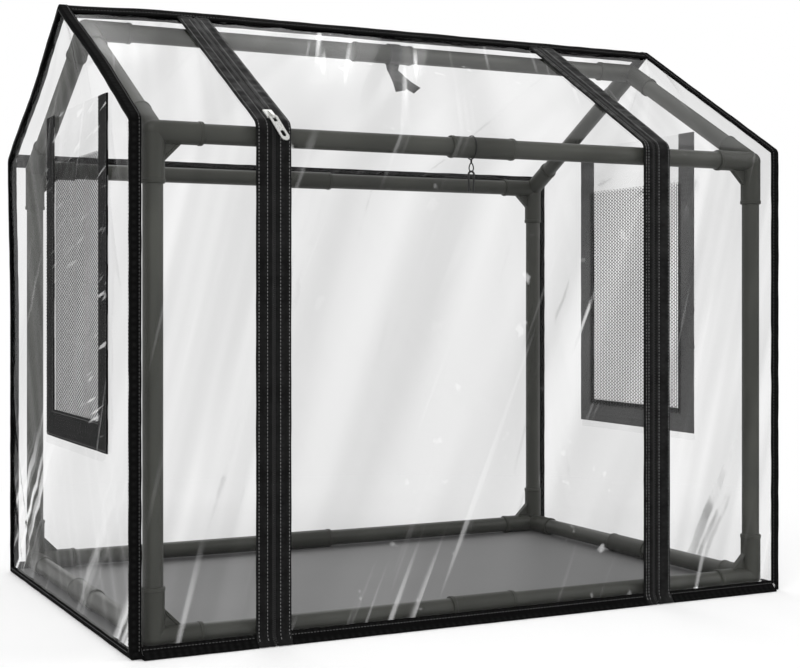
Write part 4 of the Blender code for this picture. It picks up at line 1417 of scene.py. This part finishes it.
@dataclass
class Bindings:
    """Black tape folded over the cover's seams and stitched through."""

    tape: float = 0.0015
    crown: float = 0.0002
    left_hem_end: float = -0.2375
    right_hem_end: float = 0.2105

    @property
    def span(self) -> Pair:
        """Where the bindings along X start and end."""
        return (-(COVER.flange - COVER.fit), COVER.flange - COVER.fit)

    def gable(self, side: Side) -> None:
        """Make the tape round a gable, folded over its edge.

        Args:
            side: which gable.
        """
        sign, low, high = side.value, COVER.fit, COVER.seam
        film, out = COVER.half_length, COVER.half_length + COVER.seam
        section = [
            (film + low, -COVER.gable_leg),
            (out - 0.0004, -COVER.gable_leg),
            (out, -COVER.gable_leg + 0.0007),
            (out + self.crown, -COVER.gable_leg * 0.5),
            (out, -0.0006),
            (out - 0.0003, high - 0.0006),
            (out - 0.0010, high + 0.0001),
            (film - COVER.leg * 0.5, high + self.crown),
            (film - COVER.leg + 0.0006, high),
            (film - COVER.leg, high - 0.0004),
            (film - COVER.leg, low),
            (film, low),
        ]
        section = [(sign * x, height) for x, height in section]
        made = swept(f"gable_tape_{side.word}", COVER.gable, section, TAPE_STEP, closed=True)
        pucker(made, 0.0004, 0.018, 2.0 + sign)
        place(made, BINDING, "binding_fabric", stands_for=[f"gable_binding_{side.word}"])
        rows = []
        for x, height, facing in (
            (out + self.crown, -COVER.gable_leg * 0.66, (sign, 0, 0)),
            (film - COVER.leg * 0.72, high + self.crown, None),
        ):
            points = COVER.gable(height)
            points.append(points[0])
            base = dense(points, shares(points, 0.01))
            if facing is None:
                facing = at_x(0.0, outward(base))
            line = at_x(sign * x, base)
            rows.append(stitches(f"gable_row_{len(rows)}", line, facing, TAPE_THREAD))
        place(joined(f"gable_stitches_{side.word}", rows), THREAD, "binding_fabric")

    def straight(
        self, name: str, section: Sequence[Pair], node: str, rows: Sequence[tuple[Pair, Pair]]
    ) -> None:
        """Make a binding along X, with its rows of stitches.

        Args:
            name: the piece's name.
            section: its corners, as Y and Z.
            node: what it stands for.
            rows: for each row of stitches, its Y and Z and the way it faces.
        """
        made = pucker(along_x(name, section, self.span), 0.0004, 0.018, len(name))
        place(made, BINDING, "binding_fabric", stands_for=[node])
        lines = []
        for (y, z), out in rows:
            line = level(np.array(self.span), y, z)
            lines.append(stitches(f"{name}_row_{len(lines)}", line, (0.0, *out), TAPE_THREAD))
        place(joined(f"{name}_stitches", lines), THREAD, "binding_fabric")

    def ridge(self) -> None:
        """Make the tape over the ridge."""
        outer, inner = [], []
        for height, into in ((COVER.seam, outer), (COVER.fit, inner)):
            front, peak = COVER.roof_point(COVER.edge_run, height), COVER.roof_point(0, height)
            back = (-front[0], front[1])
            bend = COVER.fillet(front, peak, back, COVER.ridge_bend + height)
            into += [front, *bend, back]
        lean, rise = Vector((-COVER.slope, 1.0)).normalized()
        y, z = COVER.roof_point(COVER.edge_run * 0.75, COVER.seam)
        rows = [((y, z), (lean, rise)), ((-y, z), (-lean, rise))]
        self.straight("ridge_tape", outer + inner[::-1], "ridge_binding", rows)

    def back_eave(self) -> None:
        """Make the tape over the back eave."""
        low = COVER.eave - COVER.leg
        line = COVER.front(low, COVER.half_depth - COVER.leg / COVER.secant)
        outer, inner = ([(-y, z) for y, z in line(h)] for h in (COVER.seam, COVER.fit))
        y, z = COVER.wall_point(low + 0.0022, COVER.seam)
        rows = [((-y, z), (1.0, 0.0))]
        self.straight("back_eave_tape", outer + inner[::-1], "back_eave_binding", rows)

    def bottom(self) -> None:
        """Make the tape under the back edge and the two short hems in front."""
        near, far = COVER.half_depth + COVER.fit, COVER.half_depth + COVER.seam
        top, inside = COVER.foot + COVER.leg, COVER.half_depth - COVER.leg
        under = [(inside, 0.0), (inside, self.tape), (near, self.tape)]
        section = [(near, top), (far, top), (far, 0.0004), (far - 0.0004, 0.0), *under]
        rows = [((far, COVER.foot + 0.0065), (1.0, 0.0))]
        self.straight("back_bottom_tape", section, "back_bottom_binding", rows)
        steps = [(far, z) for z, _ in COVER.flare[::-1]]
        front = [(-y, z) for y, z in [section[0], *steps, *under]]
        for side, span in (
            (Side.LEFT, (self.span[0], self.left_hem_end)),
            (Side.RIGHT, (self.right_hem_end, self.span[1])),
        ):
            word = side.word
            FrontHem(span).sew(f"front_hem_{word}", f"front_hem_stitches_{word}", front)

    def build(self) -> None:
        """Make all the bindings."""
        for side in Side:
            self.gable(side)
        self.ridge()
        self.back_eave()
        self.bottom()


@dataclass
class ZipDoor:
    """The door: clear film between two zips that run from the hem to the ridge."""

    left: float = -0.2207
    right: float = 0.1900
    left_fixed: float = 0.0165
    left_door: float = 0.0169
    right_fixed: float = 0.0202
    right_door: float = 0.0115
    fold_run: float = 0.204
    tooth: float = 0.0017
    bend: float = 0.016
    wave: float = 0.0145
    wave_lift: float = 0.0005
    wave_at: float = 0.35  # share of the tape's width
    film_points: int = 54
    film_long: float = 0.705
    # One tooth's arch: way out from the tape's edge, and height.
    arch: tuple = (
        (-0.0002, 0.0004), (0.0000, 0.0011), (0.0009, 0.0013), (0.0018, 0.0008), (0.0021, 0.0001)
    )

    @property
    def fold(self) -> tuple[str, Vector, Vector]:
        """Where the door would bend over to its front half; it is not bent.

        Returns:
            The front half's body, and the two points between which the door would bend.
        """
        down = Vector((0, -1, -COVER.slope)).normalized()
        at = Vector((0, *COVER.roof_point(self.fold_run, 0.0)))
        return ("door_front", at - down * self.bend, at + down * self.bend)

    @property
    def zip_line(self) -> Outline:
        """The line that both zips follow."""
        return COVER.front(COVER.fit, COVER.edge_run + COVER.fit)

    def band(self, name: str, edge: float, teeth: float) -> Piece:
        """Make a zip tape, drawn up in small waves between its rows of stitches.

        Args:
            name: the tape's name.
            edge: X of its outer edge.
            teeth: X of the zip's teeth, where it has a rolled edge.

        Returns:
            The tape.
        """
        sign = math.copysign(1, teeth - edge)
        wide = abs(teeth - edge)
        section = [
            (0.0, COVER.fit),
            (0.0, 0.0013),
            (0.0005, COVER.seam),
            (wide * self.wave_at, COVER.seam + 0.0001),
            (wide - 0.0062, COVER.seam),
            (wide - 0.0050, COVER.seam + 0.0004),
            (wide - 0.0032, COVER.seam + 0.0008),
            (wide - 0.0019, COVER.seam + 0.0006),
            (wide - 0.0014, COVER.seam - 0.0002),
            (wide - 0.0012, 0.0009),
            (wide - 0.0001, 0.0008),
            (wide - 0.0001, COVER.fit),
        ]
        section = [(edge + sign * x, height) for x, height in section]
        crest = edge + sign * wide * self.wave_at

        def lift(x: float, s: float) -> float:
            """The waves, which only the crest has."""
            wave = self.wave_lift * (1 + math.sin(2 * math.pi * s / self.wave))
            return wave if abs(x - crest) < 0.0001 else 0.0

        made = swept(name, self.zip_line, section, 0.0036, lift=lift)
        return pucker(made, 0.0003, 0.022, teeth * 9)

    def coil(self, name: str, teeth: float, side: int) -> Piece:
        """Make one row of nylon coil: an arch of monofilament for each tooth.

        Args:
            name: the row's name.
            teeth: X of the row.
            side: the way that its arches reach, as the sign of X.

        Returns:
            The row.
        """
        line = self.zip_line(0.0010)
        base = dense(line, shares(line, 0.004))
        run = lengths(base)
        ahead = np.gradient(base, run, axis=0)
        points, faces = [], []
        first_at = self.tooth + (self.tooth / 2 if side > 0 else 0.0)
        for start in np.arange(first_at, run[-1] - self.tooth, self.tooth):
            y, z = (np.interp(start, run, base[:, axis]) for axis in (0, 1))
            ty, tz = (np.interp(start, run, ahead[:, axis]) for axis in (0, 1))
            size = math.hypot(ty, tz)
            ty, tz = ty / size, tz / size
            first = len(points)
            for x, h in self.arch:
                for lean in (-0.3 * self.tooth, 0.3 * self.tooth):
                    at = (y + ty * lean - tz * h, z + tz * lean + ty * h)
                    points.append((teeth + side * x, *at))
            faces += [(a, a + 1, a + 3, a + 2) for a in range(first, len(points) - 2, 2)]
        return mesh_piece(name, points, faces, 60)

    def sewn(self, name: str, xs: Sequence[float]) -> Piece:
        """Make rows of stitches up the front and the roof.

        Args:
            name: the name of all rows together.
            xs: X of each row.

        Returns:
            The rows, as one piece.
        """
        line = COVER.front(0.004, COVER.edge_run + 0.004)(COVER.seam + 0.0001)
        base = dense(line, shares(line, 0.008))
        facing = at_x(0.0, outward(base))
        rows = [stitches(f"{name}_row", at_x(x, base), facing, ZIP_THREAD_THICK) for x in xs]
        return joined(name, rows)

    def film(self) -> None:
        """Make the clear sheet of the door, which folds at the eave."""
        span = (self.left + self.left_door - 0.006, self.right - self.right_door + 0.006)
        slack = Slack(0.0014, 15.0, (0.85, 0.5), -0.55)
        top_run = COVER.edge_run + COVER.fit
        made = slack.film("door_film", np.linspace(*span, self.film_points), top_run, 0.007)
        halves = ["door_roof_panel", "door_front_panel"]
        place(made, ROOF_FILM, "clear_film", "door_roof", halves, bends=self.fold)

    def zip(self, side: Side, teeth: float, fixed: float, door: float) -> None:
        """Make one zip, with its fixed half and the half on the door.

        Args:
            side: which zip.
            teeth: X of its teeth.
            fixed: width of the fixed tape.
            door: width of the door's tape.
        """
        word, sign = side.word, side.value
        outer, inner = teeth + sign * fixed, teeth - sign * door
        made = self.band(f"fixed_tape_{word}", outer, teeth)
        place(made, ZIP_TAPE, "zip_fabric", stands_for=[f"zip_tape_fixed_{word}"])
        place(self.coil(f"fixed_coil_{word}", teeth + sign * 0.0002, sign), COIL, "zip_fabric")
        rows = [outer - sign * 0.0022, teeth + sign * 0.0062]
        place(self.sewn(f"fixed_stitches_{word}", rows), ZIP_THREAD, "zip_fabric")
        stands = [f"zip_tape_door_roof_{word}"]
        if side is Side.LEFT:
            stands.append("door_front_edging")
        rows = [inner + sign * 0.0022, teeth - sign * 0.0062]
        made = self.band(f"door_tape_{word}", inner, teeth)
        place(made, ZIP_TAPE, "zip_fabric", "door_roof", stands, bends=self.fold)
        made = self.coil(f"door_coil_{word}", teeth - sign * 0.0002, -sign)
        place(made, COIL, "zip_fabric", "door_roof", bends=self.fold)
        made = self.sewn(f"door_stitches_{word}", rows)
        place(made, ZIP_THREAD, "zip_fabric", "door_roof", bends=self.fold)

    def build(self) -> None:
        """Make the zips, the film and the hem, and dress the slider and its pull."""
        self.zip(Side.LEFT, self.left, self.left_fixed, self.left_door)
        self.zip(Side.RIGHT, self.right, self.right_fixed, self.right_door)
        self.film()
        near, far = COVER.half_depth + COVER.fit, COVER.half_depth + COVER.seam
        section = [(-near, 0.0108), *[(-far, z) for z, _ in COVER.flare[::-1]]]
        section += [(-near, z) for z, _ in COVER.flare[:-1]]
        span = (self.left + self.left_door - 0.001, self.right - self.right_door + 0.001)
        hem = FrontHem(span, "zip_fabric", "door_front", ZIP_THREAD_THICK, 0.02, 8.0)
        hem.sew("door_hem", "door_hem_stitches", section)
        for node in ("zip_slider", "zip_pull"):
            dress(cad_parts[node], ZINC)


@dataclass
class GableWindow:
    """A knitted net in a gable, with hook-and-loop strips round three sides and a clear flap."""

    side: Side
    net: Box
    strips: Box
    mesh_pitch: float = 0.0039
    strand: float = 0.00033
    deep: float = 0.0004
    border: float = 0.006
    yarn_share: float = 0.31  # share of the net's area that is yarn
    rounding: float = 0.0006
    crown: float = 0.0002
    flap_below: float = 0.008
    flap_points: int = 40

    @property
    def opening(self) -> Box:
        """The hole in the gable's film, a little smaller than the net."""
        y0, y1, z0, z1 = self.net
        return (y0 + 0.002, y1 - 0.002, z0 + 0.002, z1 - 0.002)

    def netting(self) -> None:
        """Make the net: a hexagon of yarn for each hole, running on behind the strips."""
        y0, y1, z0, z1 = self.net
        x = self.side.value * (COVER.half_length - 0.0012)
        inner = x - self.side.value * self.deep
        across = self.mesh_pitch / math.sqrt(3)
        hole = across - self.strand / math.cos(math.pi / 6)
        turns = [math.pi / 3 * corner for corner in range(6)]
        points, faces = [], []
        edge = self.border
        column, y = 0, y0 - edge + across
        while y < y1 + edge - across:
            z = z0 - edge + self.mesh_pitch * (1.0 if column % 2 else 0.5)
            while z < z1 - self.mesh_pitch / 2:
                first = len(points)
                for radius, at in ((across, x), (hole, x), (hole, inner)):
                    for t in turns:
                        points.append((at, y + radius * math.cos(t), z + radius * math.sin(t)))
                for low in (first, first + 6):
                    for k in range(6):
                        after = low + (k + 1) % 6
                        faces.append((low + k, after, after + 6, low + k + 6))
                z += self.mesh_pitch
            y += across * 1.5
            column += 1
        made = mesh_piece(f"window_netting_{self.side.word}", points, faces)
        flat = [points[corner][1:] for face in faces for corner in face]
        layer = made.data.uv_layers.new(name=WEAVE)
        layer.data.foreach_set("uv", np.array(flat, np.float32).ravel())
        place(made, NET, "net_yarn", stands_for=[f"window_net_{self.side.word}"])

    def pile(self) -> None:
        """Make the strips: two uprights and a sill, with a row of stitches on each side."""
        y0, y1, z0, z1 = self.strips
        n0, n1, m0, _ = self.net
        sign, r = self.side.value, self.rounding
        low, high = COVER.half_length + COVER.fit, COVER.half_length + COVER.seam
        parts = []
        for a, b, c, d in ((y0, n0, z0, z1), (n1, y1, z0, z1), (n0, n1, z0, m0)):
            zs = np.linspace(c, d, max(2, math.ceil((d - c) / 0.008)))
            edge = [(a, low), (a, high - r), (a + r, high), ((a + b) / 2, high + self.crown)]
            edge += [(b - r, high), (b, high - r), (b, low)]
            rows = [at_x(sign * x, np.column_stack([np.full(len(zs), y), zs])) for y, x in edge]
            parts.append(woven(f"pile_{len(parts)}", np.array(rows), ring=True))
        made = joined(f"window_pile_{self.side.word}", parts)
        pucker(made, 0.0002, 0.02, 4.0 + sign)
        place(made, PILE, "strip_fabric", stands_for=[f"window_strips_{self.side.word}"])
        rows = []
        for left, right, sill in (
            (y0 + 0.002, y1 - 0.002, z0 + 0.002),
            (n0 - 0.002, n1 + 0.002, m0 - 0.002),
        ):
            line = np.array([(left, z1), (left, sill), (right, sill), (right, z1)])
            line = at_x(sign * (high + self.crown), line)
            rows.append(stitches(f"pile_row_{len(rows)}", line, (sign, 0, 0), TAPE_THREAD))
        place(joined(f"window_stitches_{self.side.word}", rows), THREAD, "strip_fabric")

    def flap(self) -> None:
        """Make the clear flap, creased where it has been rolled up."""
        y0, y1, z0, z1 = self.strips
        sign, bottom = self.side.value, z0 - self.flap_below
        base = COVER.half_length + COVER.seam + 0.0005
        rows = []
        for z in np.linspace(bottom, z1, round((z1 - bottom) / 0.006)):
            row = []
            fixed = max(0.0, min(1.0, (z1 - z) / 0.02))
            for y in np.linspace(y0, y1, self.flap_points):
                inside = min(y - self.net[0], self.net[1] - y, z - self.net[2])
                hold = max(0.0, min(1.0, inside / 0.02))
                dent = crease(z * 0.9 - y * 0.4, y + z * 0.7, 31.0 + sign, 0.12, 0.018)
                off = 0.0012 * hold * dent + 0.0003 * abs(dent)
                row.append((sign * (base + fixed * off), y, z))
            rows.append(row)
        made = woven(f"flap_film_{self.side.word}", np.array(rows), smooth=SHEET_SMOOTH)
        body = f"window_flap_{self.side.word}"
        top = Vector((sign * base, (y0 + y1) / 2, z1))
        bends = (body, top, top - UP * 0.02)
        place(made, FLAP_FILM, "clear_film", stands_for=[body], bends=bends)

    def build(self) -> None:
        """Make the net, the strips and the flap."""
        self.netting()
        self.pile()
        self.flap()


@dataclass
class RidgeStrap:
    """A webbing strap looped round the ridge coupler, sewn below it, with two loose tails."""

    x: float = 0.0128
    width: float = 0.013
    thick: float = 0.0009
    axis_z: float = 0.5735
    loop: float = 0.0106
    neck: float = 0.006
    cut_length: float = 0.135
    # Each tail's run from the neck, and how far it curls.
    tails: tuple = (
        (Vector((0.0056, -0.0090, -0.0236)), -0.0016),
        (Vector((0.0224, -0.0150, -0.0228)), 0.0022),
    )

    def ribbon(self, name: str, line: Sequence[Vector], across: Sequence[Vector]) -> Piece:
        """Make a flat ribbon.

        Args:
            name: its name.
            line: the points that its middle follows.
            across: the way that its width lies at each.

        Returns:
            The ribbon.
        """
        rows = []
        half = self.width / 2
        for side, up in ((-1, -1), (-1, 1), (-0.5, 1), (0.5, 1), (1, 1), (1, -1)):
            row = []
            for number, (at, wide) in enumerate(zip(line, across)):
                ahead = line[min(number + 1, len(line) - 1)] - line[max(number - 1, 0)]
                out = wide.cross(ahead.normalized()).normalized()
                row.append(tuple(at + wide * side * half + out * up * self.thick / 2))
            rows.append(row)
        return woven(name, np.array(rows), ring=True)

    def build(self) -> None:
        """Make the loop, the sewn neck and the two tails, which curl a little."""
        centre = Vector((self.x, 0, self.axis_z))
        wide = Vector((1, 0, 0))
        radius = self.loop + self.thick / 2
        turns = np.linspace(math.radians(-75), math.radians(255), 36)
        loop = [centre + Vector((0, math.cos(t), math.sin(t))) * radius for t in turns]
        foot = centre - UP * (radius + self.neck)
        apart = Vector((0, 0.0004, 0))
        line = [foot + apart, *loop, foot - apart]
        parts = [self.ribbon("strap_loop", line, [wide] * len(line))]
        steps = np.linspace(0, 1, 12)
        for run, curled in self.tails:
            along = run.normalized()
            across = (wide - along * along.x).normalized()
            curl = across.cross(along) * curled
            tail = [foot + run * s + curl * math.sin(s * math.pi) for s in steps]
            mixed = [wide.lerp(across, min(1.0, s * 3)).normalized() for s in steps]
            parts.append(self.ribbon(f"strap_tail_{len(parts)}", tail, mixed))
        made = joined("ridge_webbing", parts)
        place(made, WEBBING, "strap_webbing", "ridge_strap", ["ridge_tie"])


@dataclass
class EaveHook:
    """A coated wire hook that hangs from the coupler of the front eave."""

    x: float = -0.0114
    y: float = -0.2189
    z: float = 0.4512
    reach: float = 0.0112
    wire: float = 0.0006
    cord: float = 0.0010
    neck: float = 0.0036
    half: float = 0.0029
    fall: float = 0.0080
    leg: float = 0.0195

    def bent(self, name: str, points: Sequence[Vector], radius: float, closed: bool) -> Piece:
        """Bend a round wire.

        Args:
            name: its name.
            points: what its middle follows.
            radius: half its thickness.
            closed: it is a ring.

        Returns:
            The wire, as a mesh.
        """
        curve = bpy.data.curves.new(name, "CURVE")
        curve.dimensions = "3D"
        curve.bevel_depth = radius
        curve.bevel_resolution = 3
        curve.use_fill_caps = True
        spline = curve.splines.new("POLY")
        spline.points.add(len(points) - 1)
        for point, at in zip(spline.points, points):
            point.co = (*at, 1)
        spline.use_cyclic_u = closed
        guide = linked(name, curve)
        mesh = bpy.data.meshes.new_from_object(guide)
        bpy.data.objects.remove(guide)
        mesh.shade_smooth()
        return linked(name, mesh)

    def build(self) -> None:
        """Make the ring round the coupler, its twisted neck, the drop and the open loop."""
        at, half = Vector((self.x, self.y, self.z)), self.half
        turns = np.linspace(0, 2 * math.pi, 40, endpoint=False)
        ring = [at + Vector((0, math.sin(t), -math.cos(t))) * self.reach for t in turns]
        parts = [self.bent("hook_ring", ring, self.wire, True)]
        for phase in (0.0, math.pi):
            neck = []
            for s in np.linspace(0, 1, 16):
                side = [0.0006 * turn(s * 9 + phase) for turn in (math.cos, math.sin)]
                neck.append(at + Vector((*side, -self.reach - self.neck * s)))
            parts.append(self.bent("hook_neck", neck, self.wire * 0.8, False))
        apex = -(self.reach + self.neck)
        drop = []
        for t in turns:
            depth = (1 - math.cos(t)) / 2
            wide = half * math.sin(t) * (0.6 + 0.4 * depth)
            drop.append(at + Vector((wide, 0, apex - self.fall * depth)))
        parts.append(self.bent("hook_drop", drop, self.wire, True))
        crown = apex - self.fall
        tips = [at + Vector((side * half * 0.8, 0, crown - self.leg)) for side in (-1, 1)]
        arc = [
            at + Vector((half * math.cos(t), 0, crown - half + half * math.sin(t)))
            for t in np.linspace(math.pi, 0, 16)
        ]
        parts.append(self.bent("hook_legs", [tips[0], *arc, tips[1]], self.cord, False))
        place(joined("eave_wire_hook", parts), CORD, "tie_cord", "eave_hook", ["eave_tie"])


# The room


@dataclass
class Studio:
    """Camera, lamps, white floor and white surroundings."""

    lens: float = 68.23
    camera_at: tuple[float, float, float] = (-0.72201, -1.48070, 0.30639)
    yaw: float = -26.585
    shift_y: float = -0.0439
    world_light: float = 0.62
    floor_half: float = 9.0
    floor_z: float = -0.0005
    # Each lamp's name, place, size and power.
    lamps: tuple = (
        ("key_lamp", (-1.6, -1.9, 2.1), 1.3, 32.0),
        ("fill_lamp", (2.2, -1.6, 1.5), 1.6, 16.0),
        ("back_lamp", (0.6, 2.2, 2.0), 1.6, 16.0),
    )

    def camera(self) -> None:
        """Set up a level camera in front of the left gable."""
        data = bpy.data.cameras.new("camera")
        data.lens = self.lens
        data.sensor_width = 36.0
        data.shift_y = self.shift_y
        data.clip_end = 50.0
        made = linked("camera", data)
        made.location = self.camera_at
        made.rotation_euler = (math.radians(90), 0, math.radians(self.yaw))
        bpy.context.scene.camera = made

    def lamp(self, name: str, at: Vector, size: float, power: float) -> None:
        """Set up a square lamp that faces the middle of the greenhouse.

        Args:
            name: the lamp's name.
            at: where it stands.
            size: the length of its side.
            power: its power, in watts.
        """
        data = bpy.data.lights.new(name, "AREA")
        data.size = size
        data.energy = power
        made = linked(name, data)
        made.location = at
        made.rotation_euler = (Vector((0, 0, 0.3)) - at).to_track_quat("-Z", "Y").to_euler()

    def seen(self, tree: Tree) -> Node:
        """Tell the rays that see the surroundings from those that only light the greenhouse.

        Args:
            tree: where the nodes go.

        Returns:
            1 for rays from the camera, off a shiny surface or through glass, and else 0.
        """
        path = add_node(tree, "LightPath").outputs
        eye = {0: path["Is Camera Ray"], 1: path["Is Glossy Ray"]}
        eye = {0: add_node(tree, "Math", eye, operation="MAXIMUM")}
        eye[1] = path["Is Transmission Ray"]
        return add_node(tree, "Math", eye, operation="MAXIMUM")

    def world(self) -> None:
        """Set up surroundings that look white, and give a plain grey light."""
        world = bpy.data.worlds.new("studio")
        bpy.context.scene.world = world
        tree = bare_tree(world)
        strength = {"Value": self.seen(tree), "To Min": self.world_light, "To Max": 1.0}
        strength = add_node(tree, "MapRange", strength)
        light = add_node(tree, "Background", {"Color": (1, 1, 1, 1), "Strength": strength})
        add_node(tree, "OutputWorld", {"Surface": light})

    def floor(self) -> None:
        """Set up a floor that keeps the greenhouse's shadow and is pure white further out."""
        half = self.floor_half
        corners = [(-half, -half, 0), (half, -half, 0), (half, half, 0), (-half, half, 0)]
        made = mesh_piece("floor", corners, [(0, 1, 2, 3)])
        made.location.z = self.floor_z
        paint = bpy.data.materials.new("white_floor")
        tree = bare_tree(paint)
        where = add_node(tree, "TexCoord").outputs["Object"]
        away = add_node(tree, "VectorMath", {0: where}, operation="LENGTH").outputs["Value"]
        fade = {"Value": away, "From Min": 0.55, "From Max": 1.0}
        fade = add_node(tree, "MapRange", fade, interpolation_type="SMOOTHSTEP")
        matt = add_node(tree, "BsdfDiffuse", {"Color": (0.9, 0.9, 0.9, 1)})
        lift = add_node(tree, "Emission", {"Strength": 0.2})
        near = add_node(tree, "AddShader", {0: matt, 1: lift})
        white = add_node(tree, "Emission", {"Strength": 1.0})
        shown = add_node(tree, "MixShader", {0: fade, 1: near, 2: white})
        whole = add_node(tree, "MixShader", {0: self.seen(tree), 1: matt, 2: shown})
        add_node(tree, "OutputMaterial", {"Surface": whole})
        made.data.materials.append(paint)

    def build(self) -> None:
        """Set up the whole room."""
        self.camera()
        self.world()
        self.floor()
        for name, at, size, power in self.lamps:
            self.lamp(name, Vector(at), size, power)
        bpy.context.scene.view_settings.view_transform = "Standard"


LEFT_WINDOW = GableWindow(
    Side.LEFT, (-0.1335, 0.0335, 0.1950, 0.4444), (-0.1615, 0.0615, 0.1680, 0.4904)
)
RIGHT_WINDOW = GableWindow(
    Side.RIGHT, (-0.0635, 0.1115, 0.1800, 0.4418), (-0.0915, 0.1395, 0.1530, 0.4968)
)


def main() -> None:
    """Build the room, then the frame, the cover and what hangs in it."""
    logging.basicConfig(level=logging.INFO, format="%(name)s: %(message)s")
    noise.seed_set(NOISE_SEED)
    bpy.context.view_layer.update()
    Studio().build()
    PipeFrame().build()
    windows = (LEFT_WINDOW, RIGHT_WINDOW)
    FilmCover().build({window.side: window.opening for window in windows})
    Bindings().build()
    ZipDoor().build()
    for window in windows:
        window.build()
    RidgeStrap().build()
    EaveHook().build()


if __name__ == "__main__":
    main()
